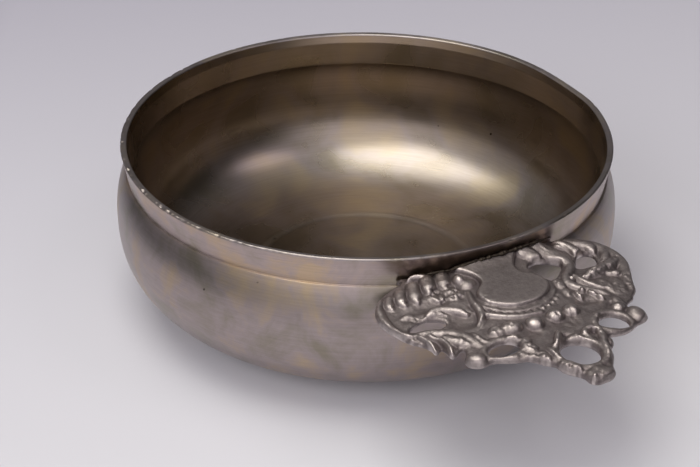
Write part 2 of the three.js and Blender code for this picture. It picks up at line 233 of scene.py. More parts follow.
@dataclass(frozen=True)
class TurnedPewter:
    """Pewter, spun or cast and turned on a lathe, then handled for years.

    The lathe leaves fine rings that stretch every reflection across them. Tarnish lies over it in soft
    patches, warm grey to faintly mauve, and a few casting pits show as dark specks.
    """

    name: str = "pewter_turned_worn"
    warm: str = "b9a68f"
    mauve: str = "a79b9a"
    dull: str = "928a7e"
    colour_stops: tuple = (0.33, 0.5, 0.67)
    roughness: float = 0.3
    roughness_spread: float = 0.12
    gloss_stops: tuple = (0.35, 0.65)
    anisotropy: float = 0.45
    patch_size: float = 14
    patch_detail: float = 5
    patch_roughness: float = 0.6
    ring_spacing: float = 0.45
    ring_depth: float = 0.012
    ring_shades: tuple = (0.9, 1.06)
    ring_drift: float = 0.004
    grain_size: float = 1.1
    grain_share: float = 0.35
    pit_colour: str = "3c352e"
    pit_spacing: float = 13
    pit_edge: tuple = (0.022, 0.04)
    pit_ragged: float = 0.05
    # Painted shade: the colour is darkened over the middle disc, out to the edge given below.
    disc_shade: float = 0.8
    disc_edge: tuple = (31.2, 32.6)
    # Tone multiplied in above a height. By default, on the outside, it lightens the collar above the crease:
    # painted sheen. The inside sets a warm patina on its upper wall instead.
    upper_patina_and_painted_sheen: tuple = (1.2, 1.17, 1.15)
    upper_patina_and_sheen_heights: tuple = (38.3, 38.8)
    # Painted shade: a darker band round the shoulder below the crease.
    shade_band_colour: tuple = (0.78, 0.8, 0.79)
    shade_band_height: float = 35.2
    shade_band_reach: float = 4.6
    stain_colour: str = "5d4c3b"
    stain_strength: float = 0.85
    stain_place: tuple = (65, -3, 42.6)
    stain_size: tuple = (4.5, 25, 5)
    stain_edge: tuple = (1.15, 1.6)

    def build(self) -> bpy.types.Material:
        """Make the material.

        Returns:
            The finished material.
        """
        material, shader, add = new_material(self.name)
        place = add("ShaderNodeTexCoord", take="Object")
        x, y, z = add("ShaderNodeSeparateXYZ", links={0: place}).node.outputs
        flat = add("ShaderNodeCombineXYZ", links={0: x, 1: y})
        radius = add("ShaderNodeVectorMath", {"operation": "LENGTH"}, {0: flat}, "Value")
        turn = add("ShaderNodeMath", {"operation": "DIVIDE"}, {0: x, 1: radius})
        drift = add("ShaderNodeMath", {"operation": "MULTIPLY", 1: self.ring_drift}, {0: turn})
        ring_place = add("ShaderNodeCombineXYZ", links={0: radius, 1: z, 2: drift})
        ring_noise = {"Scale": 1 / (self.ring_spacing * MM), "Detail": 4.0, "Roughness": 0.7}
        rings = add("ShaderNodeTexNoise", ring_noise, {"Vector": ring_place})
        grain_noise = {"Scale": 1 / (self.grain_size * MM), "Detail": 3.0}
        grain = add("ShaderNodeTexNoise", grain_noise, {"Vector": place})
        patch_noise = {
            "Scale": 1 / (self.patch_size * MM),
            "Detail": self.patch_detail,
            "Roughness": self.patch_roughness,
            "Distortion": 0.4,
        }
        patches = add("ShaderNodeTexNoise", patch_noise, {"Vector": place})

        surface = self.patched(add, patches, rings)
        surface = self.pitted(add, surface, place, grain)
        surface = self.patina_and_painted_shade(add, surface, radius, z)
        surface = self.stained(add, surface, place, patches)
        gloss_range = {"From Min": self.gloss_stops[0], "From Max": self.gloss_stops[1]}
        gloss_range |= {"To Min": self.roughness, "To Max": self.roughness + self.roughness_spread}
        gloss = add("ShaderNodeMapRange", gloss_range, {0: patches})
        finer = {"operation": "MULTIPLY_ADD", 1: self.grain_share}
        heights = add("ShaderNodeMath", finer, {0: grain, 2: rings})
        bump = add("ShaderNodeBump", {"Strength": 0.6, "Distance": self.ring_depth * MM}, {"Height": heights})
        tangent = add("ShaderNodeTangent", {"direction_type": "RADIAL", "axis": "Z"})
        set_up(
            shader,
            {"Metallic": 1.0, "Anisotropic": self.anisotropy, "Anisotropic Rotation": 0.25},
            {"Base Color": surface, "Roughness": gloss, "Normal": bump, "Tangent": tangent},
        )
        return material

    def patched(self, add: Callable, patches: Socket, rings: Socket) -> Socket:
        """Colour of the metal in soft patches, with the lathe's rings faintly in it.

        Args:
            add: Adds a node to the tree.
            patches: Where the patches lie.
            rings: Where the rings lie.

        Returns:
            The colour.
        """
        colours = add("ShaderNodeValToRGB", links={0: patches})
        set_stops(colours, list(zip(self.colour_stops, map(linear, (self.dull, self.mauve, self.warm)))))
        low, high = self.ring_shades
        shade_range = {"From Min": 0.3, "From Max": 0.7, "To Min": low, "To Max": high}
        shade = add("ShaderNodeMapRange", shade_range, {0: rings})
        return add("ShaderNodeVectorMath", {"operation": "SCALE"}, {0: colours, "Scale": shade})

    def pitted(self, add: Callable, colour: Socket, place: Socket, grain: Socket) -> Socket:
        """Colour with dark casting pits in it.

        Args:
            add: Adds a node to the tree.
            colour: The colour so far.
            place: Place on the object.
            grain: Fine noise that makes the pits ragged.

        Returns:
            The new colour.
        """
        cells = {"Scale": 1 / (self.pit_spacing * MM), "Randomness": 1.0}
        pits = add("ShaderNodeTexVoronoi", cells, {"Vector": place})
        jitter = {"operation": "MULTIPLY_ADD", 1: self.pit_ragged, 2: -0.4 * self.pit_ragged}
        ragged = add("ShaderNodeMath", jitter, {0: grain})
        edge = add("ShaderNodeMath", {"operation": "ADD"}, {0: pits, 1: ragged})
        near, far = self.pit_edge
        mask_range = {"From Min": near, "From Max": far, "To Min": 1.0, "To Max": 0.0}
        mask = add("ShaderNodeMapRange", mask_range, {0: edge})
        dark = {"data_type": "RGBA", MIX_TO: linear(self.pit_colour)}
        return add("ShaderNodeMix", dark, {0: mask, MIX_FROM: colour}, MIXED)

    def patina_and_painted_shade(self, add: Callable, colour: Socket, radius: Socket, z: Socket) -> Socket:
        """Colour with painted shade on the middle disc, a tone above a height (painted sheen on the outer
        collar, patina on the upper inner wall) and painted shade in a band round the bowl.

        Args:
            add: Adds a node to the tree.
            colour: The colour so far.
            radius: Distance from the axis.
            z: Height.

        Returns:
            The new colour.
        """
        # Painted shade: darken the middle disc.
        inner, outer = (edge * MM for edge in self.disc_edge)
        disc_range = {"From Min": inner, "From Max": outer, "To Min": self.disc_shade, "To Max": 1.0}
        disc = add("ShaderNodeMapRange", disc_range, {0: radius})
        colour = add("ShaderNodeVectorMath", {"operation": "SCALE"}, {0: colour, "Scale": disc})
        # Above a height: painted sheen on the outer collar, warm patina on the upper inner wall.
        low, high = (height * MM for height in self.upper_patina_and_sheen_heights)
        above = add("ShaderNodeMapRange", {"From Min": low, "From Max": high}, {0: z})
        multiply = {"data_type": "RGBA", "blend_type": "MULTIPLY"}
        tone = {**multiply, MIX_TO: (*self.upper_patina_and_painted_sheen, 1)}
        colour = add("ShaderNodeMix", tone, {0: above, MIX_FROM: colour}, MIXED)
        # Painted shade: a darker band round the shoulder.
        level = add("ShaderNodeMath", {"operation": "SUBTRACT", 1: self.shade_band_height * MM}, {0: z})
        level = add("ShaderNodeMath", {"operation": "ABSOLUTE"}, {0: level})
        reach = self.shade_band_reach * MM
        band_range = {"From Min": 0.2 * reach, "From Max": reach, "To Min": 1.0, "To Max": 0.0}
        band = add("ShaderNodeMapRange", band_range, {0: level})
        tone = {**multiply, MIX_TO: (*self.shade_band_colour, 1)}
        return add("ShaderNodeMix", tone, {0: band, MIX_FROM: colour}, MIXED)

    def stained(self, add: Callable, colour: Socket, place: Socket, patches: Socket) -> Socket:
        """Colour with the stain that the soldering left round the root of the handle.

        Args:
            add: Adds a node to the tree.
            colour: The colour so far.
            place: Place on the object.
            patches: Noise that makes the stain's edge uneven.

        Returns:
            The new colour.
        """
        middle, size = ([v * MM for v in values] for values in (self.stain_place, self.stain_size))
        away = add("ShaderNodeVectorMath", {"operation": "SUBTRACT", 1: middle}, {0: place})
        away = add("ShaderNodeVectorMath", {"operation": "DIVIDE", 1: size}, {0: away})
        away = add("ShaderNodeVectorMath", {"operation": "LENGTH"}, {0: away}, "Value")
        ragged = add("ShaderNodeMath", {"operation": "ADD"}, {0: away, 1: patches})
        near, far = self.stain_edge
        stain_range = {"From Min": near, "From Max": far, "To Min": self.stain_strength, "To Max": 0.0}
        mask = add("ShaderNodeMapRange", stain_range, {0: ragged})
        brown = {"data_type": "RGBA", MIX_TO: linear(self.stain_colour)}
        return add("ShaderNodeMix", brown, {0: mask, MIX_FROM: colour}, MIXED)


@dataclass(frozen=True)
class CastPewter:
    """Pewter as cast in a mould, with dark patina left in the hollows and the high points rubbed bright.

    The skin is grainy, so highlights break up on it, while the crests that hands rub shine almost white.
    """

    name: str = "pewter_cast_rubbed"
    hollow: str = "706768"
    skin: str = "8d8483"
    crest: str = "c4bab7"
    colour_stops: tuple = (0.08, 0.42, 0.9)
    dull: float = 0.57
    rubbed: float = 0.36
    blotch_size: float = 1.3
    blotch_share: float = 0.9
    grain_size: float = 0.5
    grain_depth: float = 0.2

    def build(self) -> bpy.types.Material:
        """Make the material.

        Returns:
            The finished material.
        """
        material, shader, add = new_material(self.name)
        place = add("ShaderNodeTexCoord", take="Object")
        wear = add("ShaderNodeAttribute", {"attribute_name": "wear"}, take="Fac")
        blotch_noise = {"Scale": 1 / (self.blotch_size * MM), "Detail": 6.0, "Roughness": 0.75}
        blotch = add("ShaderNodeTexNoise", blotch_noise, {"Vector": place})
        even = {"operation": "MULTIPLY_ADD", 1: self.blotch_share, 2: -self.blotch_share / 2}
        blotched = add("ShaderNodeMath", even, {0: blotch})
        worn = add("ShaderNodeMath", {"operation": "ADD"}, {0: blotched, 1: wear})
        colours = add("ShaderNodeValToRGB", links={0: worn})
        set_stops(colours, list(zip(self.colour_stops, map(linear, (self.hollow, self.skin, self.crest)))))
        gloss_range = {"From Min": 0.1, "From Max": 0.9, "To Min": self.dull, "To Max": self.rubbed}
        gloss = add("ShaderNodeMapRange", gloss_range, {0: worn})
        grain_noise = {"Scale": 1 / (self.grain_size * MM), "Detail": 4.0, "Roughness": 0.6}
        grain = add("ShaderNodeTexNoise", grain_noise, {"Vector": place})
        bump = add("ShaderNodeBump", {"Strength": 0.5, "Distance": self.grain_depth * MM}, {"Height": grain})
        set_up(shader, {"Metallic": 1.0}, {"Base Color": colours, "Roughness": gloss, "Normal": bump})
        return material


class Skin(IntEnum):
    """Material slots of the bowl."""

    OUTSIDE = 0
    LIP = 1
    INSIDE = 2


@dataclass
class Bowl:
    """Turned bowl: flat foot, bellied wall, upright collar and rolled lip.

    A dent is its angle in degrees, its width in degrees and how far it pushes the collar out. It fades
    downwards over dent_fade, to nothing at dent_drop below the crease. The nicks of the lip lie all round
    it, with nick_share of them gathered near nick_middle.
    """

    rim_radius: float = 66
    rim_height: float = 47
    lip_width: float = 1.75
    lip_depth: float = 2.6
    lip_proud: float = 0.5
    lip_round: float = 0.45
    lip_fall: float = 0.15
    collar_wall: float = 1.8
    collar_taper: float = 0.9
    crease_drop: float = 8.3
    belly_bulge: float = 3.7
    belly_height: float = 26
    belly_power: float = 2.38
    shoulder_turn: float = 58
    crease_bead: float = 0.42
    belly_wall: float = 1.7
    foot_radius: float = 32
    foot_step: float = 1
    foot_round: float = 0.7
    base_shelf: float = 4.3
    floor_thickness: float = 2.3
    well_slope: float = 1.7
    segments: int = 900
    spacing: float = 0.9
    fine_spacing: float = 0.16
    oval: tuple = (0.00666, -0.00182)
    dents: tuple = ((92, 9, -0.75), (81, 5, 0.35), (300, 14, 0.2))
    dent_drop: float = 3
    dent_fade: float = 11
    dent_power: float = 1.5
    nick_count: int = 130
    nick_share: float = 0.6
    nick_middle: float = 278
    nick_spread: float = 26
    nick_width: tuple = (0.2, 0.5)
    nick_depth: tuple = (0.06, 0.22)
    nick_reach: tuple = (0.55, 0.5)
    nick_slope: float = 0.8
    seed: int = 7

    @property
    def collar_radius(self) -> float:
        """Outer radius of the collar just below the lip."""
        return self.rim_radius - self.lip_proud

    @property
    def crease_radius(self) -> float:
        """Outer radius at the crease."""
        return self.collar_radius - self.collar_taper

    @property
    def crease_height(self) -> float:
        """Height of the crease."""
        return self.rim_height - self.crease_drop

    def rise(self, height: np.ndarray) -> np.ndarray:
        """Share of the way up from the widest level to the crease, from 0 to 1."""
        return np.clip((height - self.belly_height) / (self.crease_height - self.belly_height), 0, 1)

    def outer_radius(self, height: np.ndarray) -> np.ndarray:
        """Give the outer radius at heights above the widest level.

        Args:
            height: Heights in millimetres.

        Returns:
            Radii in millimetres.
        """
        share = (height - self.crease_height) / (self.crease_drop - self.lip_depth)
        collar = self.crease_radius + self.collar_taper * np.clip(share, 0, 1)
        angle = np.arcsin(self.rise(height) * math.sin(math.radians(self.shoulder_turn)))
        return np.where(height >= self.crease_height, collar, self.crease_radius + self.bulge(angle))

    def bulge(self, angle: np.ndarray) -> np.ndarray:
        """Give how far the shoulder stands out past the crease, by turn along it."""
        end = math.cos(math.radians(self.shoulder_turn))
        return self.crease_bead + (self.belly_bulge - self.crease_bead) * (np.cos(angle) - end) / (1 - end)

    def upper_belly(self, wall: float, top: float) -> np.ndarray:
        """Profile from the widest level up to the crease.

        Args:
            wall: How far it lies inside the outer face.
            top: Height at which it ends.

        Returns:
            Radius and height of each point.
        """
        end = math.radians(self.shoulder_turn)
        angle = np.linspace(0, end, 60)
        up = (top - self.belly_height) * np.sin(angle) / math.sin(end)
        return np.column_stack([self.crease_radius - wall + self.bulge(angle), self.belly_height + up])

    def lower_belly(self, wall: float, inner: float, bottom: float) -> np.ndarray:
        """Profile from the base up to the widest level.

        Args:
            wall: How far it lies inside the outer face.
            inner: Radius at which it starts.
            bottom: Height at which it starts.

        Returns:
            Radius and height of each point.
        """
        angle = np.linspace(0, math.pi / 2, 90)
        out = np.sin(angle) ** (2 / self.belly_power)
        down = np.abs(np.cos(angle)) ** (2 / self.belly_power)
        reach = self.crease_radius + self.belly_bulge - wall - inner
        return np.column_stack([inner + reach * out, self.belly_height - (self.belly_height - bottom) * down])

    def crease(self) -> np.ndarray:
        """Small rounded bead where the shoulder meets the collar, which catches a line of light.

        Returns:
            Radius and height of each point.
        """
        share = np.array([0.65, 0.25, -0.05, -0.05])
        up = np.array([0.07, 0.11, 0.12, 0.4])
        return np.column_stack([self.crease_radius + self.crease_bead * share, self.crease_height + up])

    def profile(self) -> np.ndarray:
        """Give the whole section, from the middle of the foot outside, over the lip, to the middle inside.

        Returns:
            Radius and height of each point.
        """
        quarter = np.linspace(0, math.pi / 2, 8)
        rising, falling = 1 - np.sin(quarter), 1 - np.cos(quarter)
        foot = np.column_stack([self.foot_radius - self.foot_round * rising, self.foot_round * falling])
        lip_out = np.column_stack(
            [self.rim_radius - self.lip_round * falling, self.rim_height - self.lip_round * rising]
        )
        inner_lip = self.rim_radius - self.lip_width
        inner_top = self.rim_height - self.lip_fall
        lip_in = np.column_stack([inner_lip + self.lip_round * rising, inner_top - self.lip_round * falling])
        shelf = self.foot_step + self.belly_wall
        ease = np.linspace(0, 1, 12)
        well = np.column_stack(
            [
                self.foot_radius + self.well_slope * (2 * ease - 1),
                self.floor_thickness + (shelf - self.floor_thickness) * ease**2 * (3 - 2 * ease),
            ]
        )
        crease_inside = self.crease_height - self.belly_wall / 2
        parts = [
            [[0, 0]],
            foot,
            [[self.foot_radius, self.foot_step]],
            self.lower_belly(0, self.foot_radius + self.base_shelf, self.foot_step),
            self.upper_belly(0, self.crease_height)[1:],
            self.crease(),
            [[self.collar_radius, self.rim_height - self.lip_depth]],
            lip_out,
            lip_in,
            [[self.collar_radius - self.collar_wall, self.rim_height - self.lip_depth]],
            self.upper_belly(self.collar_wall, crease_inside)[::-1],
            self.lower_belly(self.collar_wall, self.foot_radius + 2 * self.belly_wall, shelf)[::-1][1:],
            well[::-1],
            [[0, self.floor_thickness]],
        ]
        return self.even_out(np.vstack([np.asarray(part, dtype=float) for part in parts]))

    def even_out(self, points: np.ndarray) -> np.ndarray:
        """Space a section's points evenly, and closely at the lip, the crease and the well.

        Args:
            points: Radius and height of each corner of the section.

        Returns:
            Radius and height of the new points.
        """
        step = 0.04
        apart = np.hypot(*np.diff(points, axis=0).T) > 1e-6
        points = points[np.concatenate([[True], apart])]
        along = length_along(points)
        dense = np.arange(0, along[-1], step)
        radius, height = (np.interp(dense, along, points[:, k]) for k in (0, 1))
        below_crease, round_well = 1.2, 2.5
        at_well = np.abs(radius - self.foot_radius) < round_well
        close = (height > self.crease_height - below_crease) | at_well
        wanted = np.cumsum(step / np.where(close, self.fine_spacing, self.spacing))
        chosen = np.interp(np.arange(0, int(wanted[-1])), wanted, dense)
        chosen = np.concatenate([[0], chosen[1:], [along[-1]]])
        return np.column_stack([np.interp(chosen, along, points[:, k]) for k in (0, 1)])

    def build(self, materials: list) -> bpy.types.Object:
        """Turn the section into a closed bowl, a little out of round, dented and nicked.

        Args:
            materials: Materials for the outside, the lip and the inside.

        Returns:
            The bowl.
        """
        section = self.profile()
        turns = np.linspace(0, 2 * math.pi, self.segments, endpoint=False)
        body = section[1:-1]
        radius = np.repeat(body[:, :1], self.segments, axis=1)
        height = np.repeat(body[:, 1:], self.segments, axis=1)
        radius, height = self.knock_about(radius, height, turns)
        rings = np.stack([radius * np.cos(turns), radius * np.sin(turns), height], axis=-1).reshape(-1, 3)
        vertices = np.vstack([[[0, 0, section[0, 1]]], rings, [[0, 0, section[-1, 1]]]])
        rows = len(body)
        here = np.arange(self.segments)
        following = (here + 1) % self.segments
        top_row = int(np.argmax(body[:, 1]))
        lip_start = int(np.argmax(body[:, 0] * (body[:, 1] > self.rim_height - self.lip_round - 0.1)))
        lip_end = int(np.nonzero((np.arange(rows) > top_row) & (body[:, 1] < self.rim_height - 0.5))[0][0])
        faces = [(0, 1 + b, 1 + a) for a, b in zip(here, following)]
        slots = [Skin.OUTSIDE] * self.segments
        for row in range(rows - 1):
            lower, upper = 1 + row * self.segments, 1 + (row + 1) * self.segments
            faces += [(lower + a, lower + b, upper + b, upper + a) for a, b in zip(here, following)]
            skin = Skin.OUTSIDE if row < lip_start else (Skin.LIP if row < lip_end else Skin.INSIDE)
            slots += [skin] * self.segments
        lower = 1 + (rows - 1) * self.segments
        faces += [(lower + a, lower + b, len(vertices) - 1) for a, b in zip(here, following)]
        slots += [Skin.INSIDE] * self.segments
        made = make_object("bowl_turned", vertices, faces, materials)
        made.data.polygons.foreach_set("material_index", slots)
        return made

    def knock_about(self, radius: np.ndarray, height: np.ndarray, turns: np.ndarray) -> tuple:
        """Put the bowl out of round, dent its rim at the back and nick the edge of the lip.

        Args:
            radius: Radius of each point, by place along the section and by turn.
            height: Height of each point.
            turns: Angle of each column.

        Returns:
            The changed radii and heights.
        """

        def near(centre: float, width: float) -> np.ndarray:
            """Bell curve round the bowl, 1 at an angle in degrees."""
            return np.exp(-(((np.degrees(turns) - centre + 180) % 360 - 180) ** 2) / (2 * width**2))

        from_picture = turns - (math.pi / 2 - HANDLE_TURN)
        oval = self.oval[0] * np.cos(2 * from_picture) + self.oval[1] * np.sin(2 * from_picture)
        radius = radius * (1 + oval * self.rise(height))
        fade = np.clip((height - self.crease_height + self.dent_drop) / self.dent_fade, 0, 1)
        collar = fade**self.dent_power
        for centre, width, push in self.dents:
            radius = radius + push * near(centre, width) * collar
        draw = random.Random(self.seed)
        across, down = self.nick_reach
        inward = (radius - self.rim_radius) / across
        edge = np.exp(-(inward**2) - ((height - self.rim_height) / down) ** 2)
        for _ in range(self.nick_count):
            gathered = draw.random() < self.nick_share
            centre = draw.gauss(self.nick_middle, self.nick_spread) if gathered else draw.uniform(0, 360)
            width = draw.uniform(*self.nick_width)
            bite = draw.uniform(*self.nick_depth) * near(centre, width) * edge
            radius = radius - bite
            height = height - self.nick_slope * bite
        return radius, np.clip(height, 0, self.rim_height)


@dataclass
class CastHandle:
    """Openwork handle, cast in one piece: a shield between two gadrooned scrolls, pearls, rings and a tip.

    A place is [out, side]: out from the bowl's axis, and sideways from the middle line. Places of ridges,
    lumps, grooves and hollows were read on a plan at the level of the plate's top, and lean() moves each one
    along the line of sight to its own level. Outlines are given at their own places. Levels are heights over
    the wing's own top.
    """

    bowl: Bowl
    plate_top: float = 42.5
    plate_thickness: float = 2.5
    wing_thickness: float = 2.0
    droop: float = math.tan(math.radians(4.4))
    hinge: float = 9
    cell: float = 0.2
    out_range: tuple = (59.0, 120.4)
    side_range: tuple = (-35.4, 35.4)
    height_range: tuple = (29.0, 45.2)
    lean_out: float = 1.48
    lean_side: float = -0.757
    plan_turn: float = 0.0035
    field_level: float = -0.55
    thin_from: tuple = (8, 66)
    thin_over: tuple = (4, 3)
    edge_round: float = 0.9
    back_round: float = 0.5
    spread: float = 0.25
    melt: int = 2
    root_rise: float = 0.85
    joint_gap: float = 0.22
    tongue_length: float = 9.5
    tongue_half_width: float = 9
    tongue_squareness: float = 2.2
    tongue_thickness: tuple = (1.2, 2.6)
    tongue_top: float = 1.6
    tongue_fillet: float = 1.2
    steepest: float = 2.5
    plain_grain: float = 0.008
    cast_grain: float = 0.07
    grain_sizes: tuple = (0.65, 2.4)
    wear_contrast: float = 0.7
    seed: int = 11

    def __post_init__(self) -> None:
        """Lay out the plan grid."""
        out = np.arange(*self.out_range, self.cell)
        side = np.arange(*self.side_range, self.cell)
        self.out, self.side = np.meshgrid(out, side, indexing="ij")
        self.top = np.full(self.out.shape, self.field_level)
        self.edge = np.full(self.out.shape, np.inf)
        self.rough = np.zeros(self.out.shape)
        self.plain = np.zeros(self.out.shape, dtype=bool)
        sideways = np.clip((np.abs(self.side) - self.thin_from[0]) / self.thin_over[0], 0, 1)
        thinner = sideways * np.clip((self.out - self.thin_from[1]) / self.thin_over[1], 0, 1)
        self.bottom = -self.plate_thickness + (self.plate_thickness - self.wing_thickness) * thinner

    def drop(self, side: np.ndarray) -> np.ndarray:
        """How far the wings hang down at a distance from the middle line."""
        return self.droop * np.maximum(np.abs(side) - self.hinge, 0)

    def lean(self, places: list, rise: float | np.ndarray) -> np.ndarray:
        """Move places read at the plate's level along the line of sight to the level that they have.

        Args:
            places: Pairs of out and side.
            rise: Height above the wing's own top, one number or one for each place.

        Returns:
            The places at their own level.
        """
        seen = np.asarray(places, dtype=float)
        seen = seen - np.column_stack([0 * seen[:, 0], self.plan_turn * seen[:, 0]])
        true = seen.copy()
        for _ in range(3):
            level = rise - self.drop(true[:, 1])
            true = seen + np.column_stack([self.lean_out * level, self.lean_side * level])
        return true

    def window(self, points: np.ndarray, reach: float) -> tuple:
        """Part of the grid that a feature touches.

        Args:
            points: Places on the plan.
            reach: Distance round them.

        Returns:
            Slices of the grid.
        """
        corner = (self.out_range[0], self.side_range[0])
        low = np.floor((points.min(axis=0) - reach - corner) / self.cell)
        high = np.ceil((points.max(axis=0) + reach - corner) / self.cell) + 1
        low = np.maximum(low.astype(int), 0)
        high = np.maximum(high.astype(int), 1)
        return slice(low[0], high[0]), slice(low[1], high[1])

    def follow(self, path: np.ndarray, part: tuple) -> tuple:
        """Distance from a path, and how far along it the nearest point is.

        Args:
            path: Points of the path.
            part: Slices of the grid.

        Returns:
            Distance, share of the way along, and which side of the path (+1 left, -1 right).
        """
        out, side = self.out[part], self.side[part]
        nearest = np.full(out.shape, 1e9)
        share = np.zeros(out.shape)
        hand = np.ones(out.shape)
        lengths = length_along(path)
        for (a, b), start in zip(zip(path[:-1], path[1:]), lengths[:-1]):
            step = b - a
            long = max(float(step @ step), 1e-9)
            t = np.clip(((out - a[0]) * step[0] + (side - a[1]) * step[1]) / long, 0, 1)
            away = np.hypot(out - a[0] - t * step[0], side - a[1] - t * step[1])
            closer = away < nearest
            nearest = np.where(closer, away, nearest)
            share = np.where(closer, (start + t * math.sqrt(long)) / lengths[-1], share)
            cross = step[0] * (side - a[1]) - step[1] * (out - a[0])
            hand = np.where(closer, np.sign(cross), hand)
        return nearest, share, hand

    def raise_top(self, part: tuple, section: np.ndarray, base: float, rise: np.ndarray, soft: float) -> None:
        """Raise the top to a rounded form, with a soft join where the two meet.

        Args:
            part: Slices of the grid.
            section: Share of its full height that the form has at each place, 0 outside it.
            base: Level of its foot.
            rise: Height of its crest over its foot.
            soft: Size of the join.
        """
        level = np.where(section > 0, base + rise * section, FAR_BELOW)
        top = self.top[part]
        mix = np.clip(0.5 + (level - top) / (2 * soft), 0, 1)
        self.top[part] = top * (1 - mix) + level * mix + soft * mix * (1 - mix)

    def mark_rough(self, part: tuple, amount: np.ndarray) -> None:
        """Mark metal as at least so rough."""
        self.rough[part] = np.maximum(self.rough[part], amount)

    def oval_at(self, place: tuple, size: tuple, turn: float, level: float) -> tuple:
        """Find the places that an oval covers.

        Args:
            place: Its centre, as seen on the plan.
            size: Half length outwards and half width sideways.
            turn: Angle that it is turned by.
            level: Level that it lies at.

        Returns:
            Slices of the grid, and how far out each place is, as a share of the way to the oval's edge.
        """
        centre = self.lean([place], level)[0]
        part = self.window(centre[None], max(size) + 1)
        out, side = self.out[part] - centre[0], self.side[part] - centre[1]
        along = (out * math.cos(turn) + side * math.sin(turn)) / size[0]
        across = (side * math.cos(turn) - out * math.sin(turn)) / size[1]
        return part, np.hypot(along, across)

    def swell(self, share: np.ndarray, ends: tuple) -> np.ndarray:
        """Give how full a ridge is along its length.

        Args:
            share: Shares of its length.
            ends: Share of the length over which each end runs down.

        Returns:
            Fullness from 0 to 1 at each.
        """
        return np.sqrt(np.clip(np.minimum(share / ends[0], (1 - share) / ends[1]), 0, 1))

    def ridge(
        self,
        places: list,
        half_width: float,
        height: float,
        ends: tuple = (0.35, 0.35),
        soft: float = 0.25,
        base: float = FOOT_LEVEL,
        steep: float = 1.0,
        rough: float = 0.0,
        low_end: float = 0.3,
    ) -> None:
        """Lay a rounded ridge along a curve.

        Args:
            places: Places on its crest, as seen on the plan.
            half_width: Half of its width.
            height: Height of its crest over the wing's top.
            ends: Share of the length over which each end runs down.
            soft: Size of the fillet at its foot.
            base: Level of its foot.
            steep: Width of the flank on its right as a share of the other, going along it.
            rough: How rough the metal is on it.
            low_end: Share of the height that is left at an end that runs down.
        """
        seen = smooth_path(places)
        lengths = length_along(seen)
        full = low_end + (1 - low_end) * self.swell(lengths / lengths[-1], ends)
        path = self.lean(seen, base + (height - base) * full)
        part = self.window(path, half_width * max(steep, 1) + 1)
        away, share, hand = self.follow(path, part)
        full = self.swell(share, ends)
        width = half_width * (0.4 + 0.6 * full) * np.where(hand < 0, steep, 1.0)
        section = rounded(away / width)
        crest = (height - base) * (low_end + (1 - low_end) * full)
        self.raise_top(part, section, base, crest, soft)
        self.mark_rough(part, rough * section)

    def lump(
        self,
        place: tuple,
        size: tuple,
        height: float,
        turn: float = 0,
        base: float = FOOT_LEVEL,
        soft: float = 0.25,
        rough: float = 0.0,
        below: float = 0.0,
    ) -> None:
        """Raise a rounded lump.

        Args:
            place: Its centre, as seen on the plan.
            size: Half length outwards and half width sideways.
            height: Height of its top over the wing's top.
            turn: Angle that it is turned by.
            base: Level of its foot.
            soft: Size of the fillet at its foot.
            rough: How rough the metal is on it.
            below: How far it also hangs below the middle of the plate.
        """
        part, share = self.oval_at(place, size, turn, (base + height - below) / 2)
        section = rounded(share)
        self.raise_top(part, section, base, height - base, soft)
        self.mark_rough(part, rough * section)
        if below:
            self.bottom[part] = np.minimum(self.bottom[part], base - below * section)

    def groove(self, places: list, half_width: float, depth: float, level: float = -0.2) -> None:
        """Cut a groove along a curve.

        Args:
            places: Places on the curve, as seen on the plan.
            half_width: Half of its width.
            depth: Its depth.
            level: Height of the surface that it is cut in.
        """
        path = self.lean(smooth_path(places), level)
        part = self.window(path, half_width * 2 + 1)
        away, share, _ = self.follow(path, part)
        fade = self.swell(share, (END_FADE, END_FADE))
        self.top[part] -= depth * fade * np.exp(-((away / half_width) ** 2))

    def hollow(
        self,
        place: tuple,
        size: tuple,
        depth: float,
        turn: float = 0,
        level: float = -0.6,
        rough: float = 0.0,
    ) -> None:
        """Press a shallow dish into the top.

        Args:
            place: Its centre, as seen on the plan.
            size: Half length outwards and half width sideways.
            depth: Its depth.
            turn: Angle that it is turned by.
            level: Height of the surface that it is pressed in.
            rough: How rough the metal is in it.
        """
        squareness = 2.4
        part, share = self.oval_at(place, size, turn, level)
        dish = np.clip(1 - share**squareness, 0, 1)
        self.top[part] -= depth * dish
        self.mark_rough(part, rough * dish)

    def inside(self, outline: np.ndarray) -> np.ndarray:
        """Signed distance from a closed outline, negative inside.

        Args:
            outline: Corners of the outline.

        Returns:
            Distance at every place of the plan.
        """
        nearest = np.full(self.out.shape, 1e9)
        within = np.zeros(self.out.shape, dtype=bool)
        for a, b in zip(outline, np.roll(outline, -1, axis=0)):
            step = b - a
            t = ((self.out - a[0]) * step[0] + (self.side - a[1]) * step[1]) / max(float(step @ step), 1e-9)
            t = np.clip(t, 0, 1)
            away = np.hypot(self.out - a[0] - t * step[0], self.side - a[1] - t * step[1])
            nearest = np.minimum(nearest, away)
            if a[1] != b[1]:
                crosses = (a[1] > self.side) != (b[1] > self.side)
                within ^= crosses & (self.out < a[0] + (self.side - a[1]) / (b[1] - a[1]) * step[0])
        return np.where(within, -nearest, nearest)

